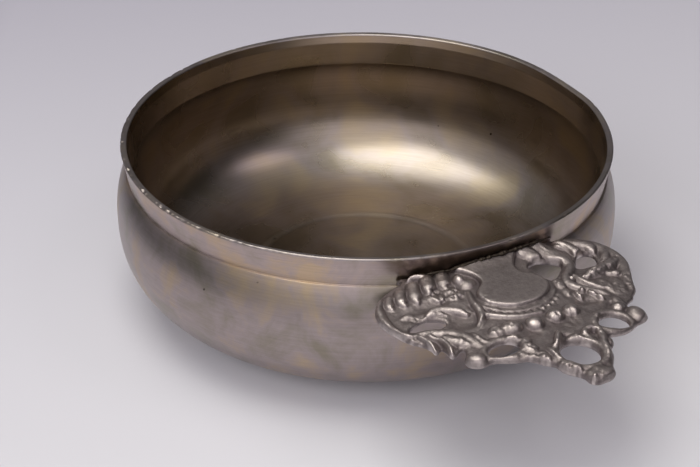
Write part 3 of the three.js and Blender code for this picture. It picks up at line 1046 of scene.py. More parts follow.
    def outline(self) -> None:
        """Draw the outline of the casting and cut its openings."""
        right = [
            (57, 19.5), (61.6, 20.5), (62.6, 23.7), (63.6, 26.4), (65.1, 29), (67.2, 30.9), (69.8, 32.4),
            (72.6, 33.2), (75.4, 33.4), (78, 33), (80.3, 32), (82.4, 30.9), (84.5, 29.8), (86.6, 28.8),
            (88.4, 28.1), (89.6, 27.2), (90.8, 25.8), (92, 24.9), (92.8, 23.4), (93.9, 21.9), (94.9, 21.5),
            (96, 22.2), (97.2, 23.2), (98.5, 23.8), (99.9, 23.7), (100.9, 22.7), (101.5, 21.2), (101.8, 19.8),
            (102.6, 18.4), (103.6, 16.6), (104.1, 14.6), (104.1, 12.6), (103.9, 11), (104.4, 9.9),
            (105.6, 9.8), (106.8, 9.6), (107.7, 8.8), (108.4, 7.9), (109.6, 7.4), (111, 6.9), (112.6, 5.8),
            (114.2, 4.6),
            (115.6, 4), (116.8, 3.8), (117.6, 3.2), (118.2, 2), (118.44, 0.4),
        ]
        left = [
            (118.5, -1), (118.2, -2.1), (117.4, -3), (116.2, -3.2), (115, -3.2), (113.8, -3.9), (112.6, -5),
            (111.2, -6), (109.8, -6.4), (108.4, -6.6), (107.4, -7.6), (106.2, -9), (105, -10), (104.1, -11),
            (103.6, -12.8), (102.7, -14.8), (101.6, -16.7), (100.9, -18.2), (100.9, -19.6), (101, -21),
            (100.4, -22.5), (99.3, -23.5), (98, -23.8), (96.9, -23.3), (96, -22.5), (94.9, -21.8),
            (93.8, -21.6), (93.3, -22.3), (93.8, -23.4), (94.6, -24.4), (94.7, -25.1), (94, -25.6),
            (92.4, -25.5), (90.6, -25.9),
            (90.9, -26.7), (91.5, -27.4), (91.1, -28), (89.8, -28), (88, -28.6), (86.4, -29.6), (84.8, -30.8),
            (83.1, -31.7), (81.3, -32.3), (79.1, -33), (76.9, -33.5), (74.6, -33.7), (72.2, -33.3),
            (69.8, -32.3), (67.6, -30.6), (65.5, -28.2), (63.8, -24.6), (62.6, -21.8), (57, -19.5),
        ]
        tip_from, tip_over = 117.2, 1.5
        self.edge = self.inside(smooth_path(right + left, 4, closed=True))
        self.edge -= self.spread * np.clip((tip_from - self.out) / tip_over, 0, 1)
        for hole in self.openings():
            self.edge = np.maximum(self.edge, -self.inside(smooth_path(hole, 5, closed=True)))

    def openings(self) -> list:
        """Give the outlines of the see-through places.

        Returns:
            Places round each opening.
        """
        angles = np.arange(0, 2 * math.pi, math.pi / 6)

        def ring(out: float, side: float, half_length: float, half_width: float) -> list:
            """Oval outline."""
            return [(out + half_length * math.cos(t), side + half_width * math.sin(t)) for t in angles]

        inner = [
            (69.6, 11), (69.8, 12.8), (70.7, 14.8), (72.1, 16.5), (73.6, 16.4), (75.3, 14.9), (77, 13.2),
            (78.5, 10.9), (77.4, 9.9), (74.8, 9.2), (72.5, 8.4), (70.5, 9.1),
        ]
        outer = [
            (71.4, 22.3), (70.3, 23.6), (70.3, 26), (71.6, 27), (74.2, 26.3), (75.6, 24.9), (75.9, 22.8),
            (76.1, 20.8), (75.4, 19.9), (73.4, 20.9),
        ]
        almond = [
            (81.3, -29.3), (80, -27.6), (79.3, -25.5), (79.4, -23.5), (80.4, -21.7), (82.2, -20.5),
            (83.4, -21.1), (83.8, -22.9), (83.3, -25.3), (82.5, -27.7),
        ]
        right_ring = [
            (100.6, 10.9), (101.7, 12.2), (102.5, 13.7), (102.9, 15.2), (102.7, 16.6), (101.4, 17.6),
            (99.6, 17.8), (97.9, 17.1), (96.8, 15.7), (96.7, 13.8), (97.6, 12), (99.1, 10.9),
        ]
        return [ring(98.4, -14.2, 2.5, 3.7), ring(107.6, 0.4, 4.9, 4.4), right_ring, inner, outer, almond]

    def shield(self) -> None:
        """Plain flat shield with a crisp bevelled edge, over a border that stands out a little."""
        half = [
            (58, 8.9), (65.4, 8.5), (67.2, 7.4), (69.6, 5.9), (72.2, 5.35), (74, 6), (75.8, 7.8), (77.6, 8.9),
            (79.4, 9.15), (81.4, 8.7), (83.4, 7.2), (85, 4.9), (85.9, 2.2),
        ]
        shift = -0.5

        def around(grow_out: float, grow_side: float) -> np.ndarray:
            """Outline of the shield, grown from its middle.

            Args:
                grow_out: Share that it grows by, outwards.
                grow_side: Times that it is as wide.

            Returns:
                Points of the outline.
            """
            right = [(out + grow_out * (out - 76), shift + grow_side * side) for out, side in half]
            left = [(out, 2 * shift - side) for out, side in reversed(right)]
            return smooth_path(right + left, 5, closed=True)

        ledge_width, ledge_rise = 1.3, 0.4
        bevel_width, face_foot, face_rise = 0.55, -0.2, 0.85
        crown_width, crown_rise = 8, 0.12
        border = -self.inside(around(0.15, 1.16))
        rise = np.clip(border / ledge_width, 0, 1) * np.clip((self.out - 77) / 5, 0, 1)
        ledge = self.field_level + ledge_rise * rounded(1 - rise)
        self.top = np.where(rise > 0, np.clip(self.top, ledge, ledge + 0.3), self.top)
        face = -self.inside(around(0.0, 1.0))
        bevel = rounded(1 - np.clip(face / bevel_width, 0, 1))
        level = face_foot + face_rise * bevel + crown_rise * np.clip(face / crown_width, 0, 1) ** 0.7
        self.top = np.where(face > 0, level, self.top)
        self.plain = face > 0
        near = np.clip(1 - (np.hypot(self.out, self.side) - self.bowl.collar_radius) / 5, 0, 1)
        middle = np.clip((self.side + 9) / 5, 0, 1) * np.clip((20 - self.side) / 4, 0, 1)
        self.top += self.root_rise * near**2 * middle

    def border(self) -> None:
        """Thin line, string of worn beads and outer line below the shield."""
        draw = random.Random(self.seed + 1)
        bulb_out, bulb_side = 78.6, -0.5
        bulb_length, bulb_width = 7.3, 9

        def below(offset: float, angle: float) -> tuple:
            """Place below the shield's bulb, at an angle from the middle line."""
            side = bulb_side + (bulb_width + offset) * math.sin(angle)
            return bulb_out + (bulb_length + offset) * math.cos(angle), side

        lines = ((1.6, -75, 60, 0.4, -0.12), (3.9, -64, 6, 0.75, 0.15))
        for offset, start, end, half_width, height in lines:
            path = np.array([below(offset, math.radians(a)) for a in np.linspace(start, end, 25)])
            part = self.window(path, 2)
            away, share, _ = self.follow(path, part)
            fade = np.clip(np.minimum(share, 1 - share) / END_FADE, 0, 1)
            self.raise_top(part, rounded(away / half_width), FOOT_LEVEL, height * fade - FOOT_LEVEL, 0.25)
        for angle in np.linspace(-50, 50, 12):
            centre = below(2.75, math.radians(angle))
            self.bead(centre, draw.uniform(0.5, 0.7), draw.uniform(-0.35, -0.05))

    def bead(self, centre: tuple, radius: float, height: float) -> None:
        """Raise one small round bead at its own place.

        Args:
            centre: Its centre.
            radius: Its radius.
            height: Level of its top.
        """
        base = -0.6
        part = self.window(np.array([centre]), radius + 1)
        away = np.hypot(self.out[part] - centre[0], self.side[part] - centre[1]) / radius
        self.raise_top(part, rounded(away), base, height - base, 0.15)

    def pearls(self) -> None:
        """Row of pearls, worn and lumpy at its ends."""
        self.lump((93.1, -2.6), (2.35, 2.3), 1.1, soft=0.35)
        self.lump((92.4, 3.3), (2.2, 2.2), 0.95, soft=0.35)
        self.hollow((92, 4), (0.6, 0.5), 0.4, level=0.9)
        self.lump((92, 7.9), (2.2, 2.1), 0.85, soft=0.35, rough=0.55)
        self.hollow((92.4, 7.8), (1.0, 0.7), 0.4, level=0.8, rough=0.6)
        self.lump((92.4, -8.4), (2.4, 2.7), 0.85, soft=0.5, rough=0.6)
        self.lump((92.7, -12.4), (2.0, 2.3), 0.55, soft=0.5, rough=0.8)
        self.lump((97.1, -11.1), (1.6, 2.5), 0.6, turn=0.35, soft=0.4, rough=0.6)
        self.lump((99, -8.6), (1.5, 1.6), 0.1, soft=0.4, rough=0.5)
        self.ridge([(91.3, -17.9), (93.4, -17.2), (96, -16.1)], 0.7, 0.25, rough=0.4)
        self.hollow((91.4, 12.8), (1.7, 3.4), 0.5)
        self.hollow((96.8, 3.6), (2.8, 4.5), 0.3, rough=0.3)
        self.hollow((97, -5.4), (2.4, 2.6), 0.35, rough=0.2)
        self.lump((97.4, 11.9), (1.4, 0.8), 0.0, rough=0.4)

    def right_wing(self) -> None:
        """Scroll on the right: swirling gadroons, a strap that curls in, and a large worn leaf."""
        self.ridge([(64.6, 21.4), (66.4, 25.4), (69.4, 28.9), (73, 30.8), (77, 31.3), (81, 30.8), (85, 29.3),
                    (89, 27.5)], 2.1, 0.3, soft=0.5, ends=(0.1, 0.1))
        lobes = [
            ([(63.8, 11), (65.2, 12.6), (67.4, 13.3), (70, 13)], 1.2, 0.8, 2.6),
            ([(63, 14.4), (65, 16.2), (67.4, 17.4), (70.4, 18.4), (73, 18.8), (75.4, 17.8)], 2.0, 0.85, 1.6),
            ([(64.4, 20.8), (66.4, 22.6), (69.4, 23.6), (72.6, 23.8)], 1.4, 0.75, 1.4),
            ([(66, 24.6), (68, 27), (70.2, 27.8), (72.8, 26.6)], 1.4, 0.7, 1.5),
            ([(71, 30), (73.6, 29.7), (75.8, 28.6), (77.4, 26.6)], 1.3, 0.35, 1.3),
        ]
        for places, half_width, height, steep in lobes:
            self.ridge(places, half_width, height, ends=(0.15, 0.25), soft=0.22, steep=steep, low_end=0.55)
        self.groove([(64.6, 18.6), (67.2, 20.4), (70.4, 21.2), (73.6, 20.6)], 0.4, 0.35)
        self.ridge([(64, 15.4), (66, 16.4), (68.6, 16.6)], 0.5, 1.0, soft=0.15, low_end=0.6)
        self.ridge([(74.6, 19), (76.8, 17), (79.2, 14.6), (81.2, 13.8), (83.4, 14.5), (85.6, 16.3),
                    (88, 18.5), (90.6, 19.8)], 1.3, 0.35, ends=(0.1, 0.3), soft=0.45)
        self.ridge([(79.8, 16.6), (82.8, 17.7), (85.8, 19.3), (88.4, 21)], 0.9, 0.2, soft=0.4)
        self.groove([(78.8, 15.8), (81.6, 15.7), (84.2, 16.6), (87, 18.7)], 0.35, 0.35, level=0.1)
        self.lump((81, 15.2), (0.9, 0.8), 0.6)
        self.ridge([(80.9, 18.6), (80, 21.4), (79.4, 24.4), (78.6, 27.4), (77.6, 30)], 1.9, 0.85,
                   ends=(0.3, 0.25), rough=0.9, soft=0.35)
        for place, size in (((79.4, 22.2), (0.5, 1.1)), ((80.8, 23), (0.4, 1.2)), ((79.8, 26), (0.6, 0.6))):
            self.hollow(place, size, 0.4, turn=-0.3, level=0.8)
        self.groove([(82.8, 19), (82.6, 22), (82.2, 25), (81, 28.8)], 0.5, 0.35)
        self.lump((83.4, 25.9), (1.3, 2.1), 0.4, turn=-0.3, rough=0.8, soft=0.4)
        self.ridge([(84.2, 29.4), (87.6, 27.6), (91, 25.9)], 1.9, -0.05, rough=0.45, soft=0.4)
        self.ridge([(85.6, 24.4), (88.4, 24.1), (91.6, 23.8)], 1.8, -0.05, rough=0.5, soft=0.4)
        self.ridge([(84.8, 21.4), (88, 21.8), (91.8, 22.2)], 1.4, -0.1, rough=0.5, soft=0.4)
        self.lump((81.8, 11.2), (2.6, 1.4), 0.2, rough=0.6, soft=0.4)
        self.lump((86, 11), (2.2, 1.1), 0.0, rough=0.6, soft=0.35)
        self.lump((87.8, 12.7), (2.0, 0.8), 0.55, rough=0.5)
        specks = [
            ((86.6, 14.5), (0.9, 0.8), 0.5),
            ((88.4, 16.1), (1.5, 0.8), 0.55),
            ((91, 16.9), (1.3, 0.7), 0.4),
        ]
        for place, size, height in specks:
            self.lump(place, size, height, turn=0.4, rough=0.8, soft=0.3)
        self.ridge([(92.4, 20), (94.6, 20.2), (96.2, 21.2)], 1.4, 0.1, rough=0.4)
        self.lump((96.2, 18.6), (1.7, 1.7), 0.55, rough=0.45, soft=0.4)
        self.groove([(93.4, 18.6), (94.4, 16.8), (96.4, 15.4)], 0.5, 0.3)

    def left_wing(self) -> None:
        """Scroll on the left: gadroons, a pitted patch, a dish with a crescent, and claws of leaf."""
        self.hollow((77.2, -22.4), (2.3, 8.4), 0.5, turn=0.04)
        self.hollow((86, -17.2), (3.9, 4.4), 0.75)
        self.ridge([(69.4, -31), (72, -32.8), (75, -33.6), (78, -34), (81, -34), (83.6, -33.2), (86, -31.2)],
                   1.5, 0.25, soft=0.4, ends=(0.1, 0.15))
        self.ridge([(85.7, -28.9), (86.7, -25.4), (88.6, -21.8), (90.8, -19.9), (93.4, -18.8), (96.8, -18.2)],
                   1.5, 0.3, soft=0.5, ends=(0.15, 0.25))
        lobes = [
            ([(65, -12.2), (68.2, -13.2), (71, -14)], 1.9, 0.45),
            ([(65, -16.2), (67.9, -17.1), (70.9, -18.3)], 1.9, 0.8),
            ([(66, -20.4), (69.8, -22), (73.8, -22.8)], 1.8, 0.7),
            ([(67.6, -24.4), (70.2, -25.8), (73.8, -26.2)], 1.6, 0.7),
            ([(69.6, -28.4), (71.8, -29.6), (74.2, -29.8)], 1.3, 0.35),
        ]
        for places, half_width, height in lobes:
            self.ridge(places, half_width, height, ends=(0.15, 0.25), soft=0.25, low_end=0.5)
        self.lump((69.4, -9.7), (2.1, 1.6), 1.15, soft=0.3)
        self.lump((72, -8.7), (2.0, 2.3), 0.3, turn=0.3, soft=0.35)
        self.ridge([(64.4, -21), (63.2, -19), (63.8, -16.8), (65.2, -15.2)], 0.75, 0.95, low_end=0.6)
        for place, size in (((74, -18), (2.4, 2.0)), ((74.8, -14), (2.6, 2.4))):
            self.lump(place, size, -0.1, rough=0.9, soft=0.5)
        self.hollow((81.3, -27.2), (1.6, 2.6), 0.25, rough=0.9)
        self.lump((79, -28.6), (0.9, 1.8), -0.15, soft=0.5)
        self.ridge([(80.7, -24.4), (79.2, -23), (78.3, -20.4), (79.1, -17.7), (80.9, -15.6), (83.3, -14.8)],
                   0.85, 0.45, ends=(0.2, 0.3), steep=1.7, soft=0.25)
        self.ridge([(81, -24), (80.4, -22), (81, -20.2), (82.4, -19.4)], 0.6, 0.0, rough=0.8)
        self.ridge([(75.4, -10.2), (78.6, -11), (82.6, -11.3), (86, -12.4), (88.6, -14.7), (90.4, -17.2)],
                   1.0, 0.3, soft=0.35)
        self.groove([(80, -12.8), (83.4, -13), (86, -14), (88.2, -16)], 0.35, 0.3, level=-0.2)
        self.groove([(84.2, -9.6), (86.8, -11.6), (89, -14.4), (91, -17.2)], 0.5, 0.6, level=-0.6)
        self.roughen((81.6, -8.6), (4.2, 1.7), 0.55)
        self.ridge([(80.6, -34.6), (83, -33.4), (85.2, -31.8), (86.9, -29.9)], 0.75, 0.4, soft=0.3)
        self.ridge([(86.4, -30.2), (87.8, -28.9), (89.8, -28.4), (92.2, -28.6), (94.8, -29.2)], 0.6, 0.4,
                   ends=(0.2, 0.3), low_end=0.2)
        self.ridge([(87, -28.2), (88.3, -26.5), (89.9, -25.3), (92.1, -24.9), (94.9, -25.5), (97.8, -26.8)],
                   0.65, 0.45, ends=(0.2, 0.25), low_end=0.2)
        self.groove([(88.8, -27.4), (91, -26.8), (94, -27.3)], 0.7, 0.5, level=-0.4)
        self.groove([(89.8, -24.2), (92.6, -23.6), (95.6, -24.2)], 0.5, 0.45, level=-0.4)
        self.ridge([(88.6, -24.4), (91, -22.8), (93.4, -20.8), (95, -19.8)], 1.5, 0.3, ends=(0.3, 0.3),
                   rough=0.5)
        for place in ((84.6, -34), (86.4, -32.8), (88, -31.8), (89.8, -30.8)):
            self.lump(place, (0.75, 0.5), 0.0, turn=0.8, rough=0.6)
        pits = random.Random(self.seed)
        for _ in range(26):
            place = (pits.uniform(72.6, 77.4), pits.uniform(-19.4, -12))
            self.hollow(place, (pits.uniform(0.5, 1.1), pits.uniform(0.25, 0.5)), pits.uniform(0.25, 0.5))

    def roughen(self, place: tuple, size: tuple, amount: float) -> None:
        """Mark an oval at its own place as rough metal.

        Args:
            place: Its centre.
            size: Half length outwards and half width sideways.
            amount: How rough it is in the middle.
        """
        part = self.window(np.array([place]), max(size) + 1)
        across = np.hypot((self.out[part] - place[0]) / size[0], (self.side[part] - place[1]) / size[1])
        self.mark_rough(part, amount * np.clip(1.6 * (1 - across), 0, 1))

    def rings_and_tip(self) -> None:
        """Side rings with their knobs, and the hanging ring with leaf round it and a knob at the end."""
        self.lump((101.3, 20.6), (3.4, 2.4), 0.7, turn=-0.2, base=-1.0, below=1.3, soft=0.3)
        self.lump((101.5, -22.7), (2.7, 2.5), 0.7, turn=0.5, base=-1.0, below=1.2, soft=0.25)
        self.oval((99.5, 14.5), (4.1, 4.2), 1.15, -0.2)
        self.oval((98.4, -14.2), (3.7, 4.8), 1.1, -0.2)
        self.oval((107.6, 0.4), (5.9, 5.5), 1.25, 0.0)
        self.lump((117.4, -0.1), (2.8, 3.6), 0.4, base=-1.0, below=0.9, soft=0.35, rough=0.4)
        self.ridge([(116.2, -0.6), (117, -2), (118.4, -2.9), (119.6, -2)], 0.45, 0.7, soft=0.2, rough=0.3)
        self.groove([(117, -0.2), (118.2, -1.2), (119, -2)], 0.35, 0.4, level=0.4)
        self.ridge([(103, -3.6), (101, -1.6), (98.8, 0.2)], 0.95, 0.95, ends=(0.3, 0.3))
        self.groove([(104, -0.6), (102, 0.6), (100, 1.6)], 0.7, 0.5)
        self.ridge([(104.4, 6.2), (101.6, 5.6), (100, 7.2), (100.6, 9.3), (103, 9.2), (106.6, 7.6),
                    (110, 6.6), (113.4, 4.2)], 1.0, 0.5, ends=(0.15, 0.2), rough=0.35)
        self.hollow((103, 7.4), (1.0, 0.8), 0.4)
        self.ridge([(101.4, 3), (103.6, 4.6), (106, 5.8)], 0.6, 0.45, rough=0.5)
        self.lump((108, 8.8), (1.5, 1.2), -0.1, base=-0.9, below=0.7)
        leaf = [
            ([(99.4, -9.4), (101.8, -8.2), (104, -7.8)], 1.7, 0.35),
            ([(102.6, -11.6), (104.4, -10.2), (106.2, -9.4)], 1.5, -0.2),
            ([(104.2, -7.4), (106.6, -7.8), (109, -9.4)], 1.3, 0.3),
            ([(103.4, -5.4), (106, -4.8), (108.6, -4.9)], 0.8, 0.15),
        ]
        for places, half_width, height in leaf:
            self.ridge(places, half_width, height, rough=0.8, soft=0.35)
        self.groove([(105.2, -6.8), (107, -8.2), (108.4, -10)], 0.3, 0.35, level=0.1)
        self.lump((111.8, -4.6), (3.1, 2.3), 0.5, turn=0.3, rough=0.6, soft=0.35)
        for place in ((111.2, -4.4), (112.9, -3.5)):
            self.hollow(place, (0.55, 0.5), 0.6, level=0.4)
        self.lump((103.8, -15.6), (1.5, 3.2), 0.0, turn=0.25, soft=0.3, rough=0.2)
        self.ridge([(104.8, 11), (105.6, 13.6), (105, 16.2)], 1.2, 0.0, rough=0.45)

    def oval(self, centre: tuple, size: tuple, half_width: float, height: float) -> None:
        """Raise the rounded band of a ring at its own place.

        Args:
            centre: Its centre.
            size: Half length outwards and half width sideways, to the middle of the band.
            half_width: Half of the band's width.
            height: Level of its crest.
        """
        base = -0.8
        turns = np.linspace(0, 2 * math.pi, 25)
        path = np.column_stack([centre[0] + size[0] * np.cos(turns), centre[1] + size[1] * np.sin(turns)])
        part = self.window(path, half_width + 1)
        away, _, _ = self.follow(path, part)
        self.raise_top(part, rounded(away / half_width), base, height - base, 0.3)

    def tongue(self, out: np.ndarray, side: np.ndarray, up: np.ndarray) -> np.ndarray:
        """Signed distance from the tongue that hugs the belly below the root.

        Args:
            out: Distance out at each place.
            side: Distance sideways.
            up: Height.

        Returns:
            Distance at each place, negative inside.
        """
        radius = np.hypot(out, side)
        outer = self.bowl.outer_radius(up)
        low = self.plate_top - self.plate_thickness - self.tongue_length
        reach = np.clip((up - low) / self.tongue_length, 0, 1)
        power = self.tongue_squareness
        half = self.tongue_half_width * np.clip(1 - (1 - reach) ** power, 0, 1) ** (1 / power)
        thin, thick = self.tongue_thickness
        shell = np.maximum(radius - outer - thin - (thick - thin) * reach, outer - radius)
        ends = np.maximum(up - self.plate_top + self.tongue_top, low - up)
        return np.maximum(np.maximum(shell, np.abs(side) - half), ends)

    def build(self, material: bpy.types.Material) -> bpy.types.Object:
        """Model the whole casting and turn it into one closed mesh.

        Args:
            material: The cast metal.

        Returns:
            The handle.
        """
        self.outline()
        self.right_wing()
        self.left_wing()
        self.pearls()
        self.rings_and_tip()
        self.border()
        self.shield()
        self.grain()
        wear = self.wear()
        vertices, faces = self.mesh_from(self.solid())
        made = make_object("handle_cast", vertices, faces, [material])
        layer = made.data.attributes.new("wear", "FLOAT", "POINT")
        layer.data.foreach_set("value", self.sample(wear, vertices).astype(np.float32))
        return made

    def grain(self) -> None:
        """Roughen the skin as a worn mould does, most of all in the marked places."""
        shift = Vector((3.1 * self.seed, 1.7, 0.4))
        flat = np.column_stack([self.out.ravel(), self.side.ravel(), np.zeros(self.out.size)])
        fine, broad = (
            np.array([noise.noise(Vector(p / size) + shift) for p in flat]).reshape(self.out.shape)
            for size in self.grain_sizes
        )
        amount = np.where(self.plain, self.plain_grain, self.cast_grain)
        self.top += fine * (amount + 0.35 * self.rough) + broad * (1.6 * amount + 0.25 * self.rough)

    def wear(self) -> np.ndarray:
        """Give how much each place stands out from what is round it.

        Returns:
            Share at every place of the plan, from 0 in a hollow to 1 on a crest.
        """
        around = self.top
        cells = range(-5, 6)
        for _ in range(3):
            for axis in (0, 1):
                around = sum(np.roll(around, shift, axis) for shift in cells) / len(cells)
        return np.clip(0.5 + self.wear_contrast * (self.top - around), 0, 1)

    def sample(self, values: np.ndarray, vertices: np.ndarray) -> np.ndarray:
        """Read a plan's values at the vertices of a mesh.

        Args:
            values: Value at every place of the plan.
            vertices: Vertices in millimetres.

        Returns:
            Value at each vertex.
        """
        i = np.clip((vertices[:, 0] - self.out_range[0]) / self.cell, 0, values.shape[0] - 2)
        j = np.clip((vertices[:, 1] - self.side_range[0]) / self.cell, 0, values.shape[1] - 2)
        a, b = i.astype(int), j.astype(int)
        s, t = i - a, j - b
        near = values[a, b] * (1 - t) + values[a, b + 1] * t
        far = values[a + 1, b] * (1 - t) + values[a + 1, b + 1] * t
        return near * (1 - s) + far * s

    def solid(self) -> np.ndarray:
        """Signed distance from the casting on a grid of cells.

        Returns:
            Distance at each place, by out, side and height.
        """
        fall = self.drop(self.side)
        middle = self.field_level + 0.5 * (self.bottom - self.field_level)
        levels = []
        for face, size in ((self.top, self.edge_round), (self.bottom, self.back_round)):
            over = np.clip(1 + self.edge / size, 0, 1)
            levels.append(self.plate_top - fall + middle + (face - middle) * rounded(over))
        top, bottom = levels
        steep = np.sqrt(1 + sum((g / self.cell) ** 2 for g in np.gradient(top)))
        steep = np.minimum(steep, self.steepest)
        up = np.arange(*self.height_range, self.cell)[None, None, :]
        above = (up - top[:, :, None]) / steep[:, :, None]
        under = bottom[:, :, None] - up
        body = np.maximum(np.maximum(above, under), self.edge[:, :, None])
        body = np.clip(body, -4 * self.cell, 4 * self.cell)
        for _ in range(self.melt):
            for axis in (0, 1, 2):
                body = 0.5 * body + 0.25 * (np.roll(body, 1, axis) + np.roll(body, -1, axis))
        out, side = self.out[:, :, None], self.side[:, :, None]
        tongue = self.tongue(out, side, up)
        soft = self.tongue_fillet
        mix = np.clip(0.5 + (tongue - body) / (2 * soft), 0, 1)
        body = tongue * (1 - mix) + body * mix - soft * mix * (1 - mix)
        clear = self.bowl.outer_radius(up) + self.joint_gap - np.hypot(out, side)
        return np.maximum(body, clear)

    def mesh_from(self, distance: np.ndarray) -> tuple:
        """Turn a grid of distances into a closed mesh.

        Args:
            distance: Signed distance at each place.

        Returns:
            Vertices in millimetres and faces.
        """
        limit = 3 * self.cell
        grid = openvdb.FloatGrid(background=limit)
        grid.copyFromArray(np.clip(distance, -limit, limit).astype(np.float32))
        points, quads = grid.convertToQuads(0.0)
        corner = np.array([self.out_range[0], self.side_range[0], self.height_range[0]])
        return points * self.cell + corner, quads.tolist()


@dataclass
class SolderSeam:
    """Bead of solder left where the handle meets the bowl: uneven, broken up and dark with flux."""

    name: str
    heights: tuple
    radius: float
    start: float
    end: float
    thickness: float = 0.5
    sides: int = 14
    steps: int = 240
    seed: int = 3

    def build(self, material: bpy.types.Material) -> bpy.types.Object:
        """Make the bead as one closed, lumpy tube.

        Args:
            material: The solder.

        Returns:
            The bead.
        """
        shift = Vector((self.seed * 7.3, 0.6, 2.2))
        turns = np.linspace(0, 2 * math.pi, self.sides, endpoint=False)
        vertices, faces = [], []
        first = math.radians(self.start)
        reach = math.radians(self.end) - first
        shares = np.linspace(0, 1, self.steps + 1)
        levels = np.interp(shares, np.linspace(0, 1, len(self.heights)), self.heights)
        vertices.append((self.radius * math.cos(first), self.radius * math.sin(first), levels[0]))
        for i in range(1, self.steps):
            share = i / self.steps
            angle = first + reach * share
            swell = math.sin(math.pi * share) ** 0.25
            place = self.radius * angle
            fat = 1 + 0.75 * noise.noise(Vector((place / 1.3, 0, 0)) + shift)
            fat *= 1 + 0.5 * noise.noise(Vector((place / 0.6, 5, 0)) + shift)
            low = 0.2 * noise.noise(Vector((place / 2.2, 9, 0)) + shift)
            for turn in turns:
                size = self.thickness * swell * max(fat, 0.3)
                size *= 1 + 0.2 * noise.noise(Vector((place / 0.5, turn, 3)) + shift)
                out = self.radius + size * math.cos(turn)
                up = levels[i] + low + 0.8 * size * math.sin(turn)
                vertices.append((out * math.cos(angle), out * math.sin(angle), up))
        last = first + reach
        vertices.append((self.radius * math.cos(last), self.radius * math.sin(last), levels[-1]))
        end = len(vertices) - 1
        for k in range(self.sides):
            following = (k + 1) % self.sides
            faces.append((0, 1 + following, 1 + k))
            faces.append((end, end - self.sides + k, end - self.sides + following))
            for ring in range(1, end - self.sides, self.sides):
                beyond = ring + self.sides
                faces.append((ring + k, ring + following, beyond + following, beyond + k))
        return make_object(self.name, np.array(vertices), faces, [material])


@dataclass(frozen=True)
class Lamp:
    """Soft rectangular lamp: place as the camera sees it and size, in metres, and power in watts."""

    name: str
    place: tuple
    size: tuple
    power: float
    colour: str
    in_reflections: bool = True

    def hang(self, target: Vector) -> None:
        """Hang the lamp.

        Args:
            target: Place that it faces.
        """
        light = bpy.data.lights.new(self.name, "AREA")
        light.shape = "RECTANGLE"
        light.size, light.size_y = self.size
        light.energy = self.power
        light.color = linear(self.colour)[:3]
        made = bpy.data.objects.new(self.name, light)
        place = seen_from_camera(*self.place)
        made.location = place
        made.rotation_euler = (target - place).to_track_quat("-Z", "Y").to_euler()
        made.visible_glossy = self.in_reflections
        bpy.context.scene.collection.objects.link(made)


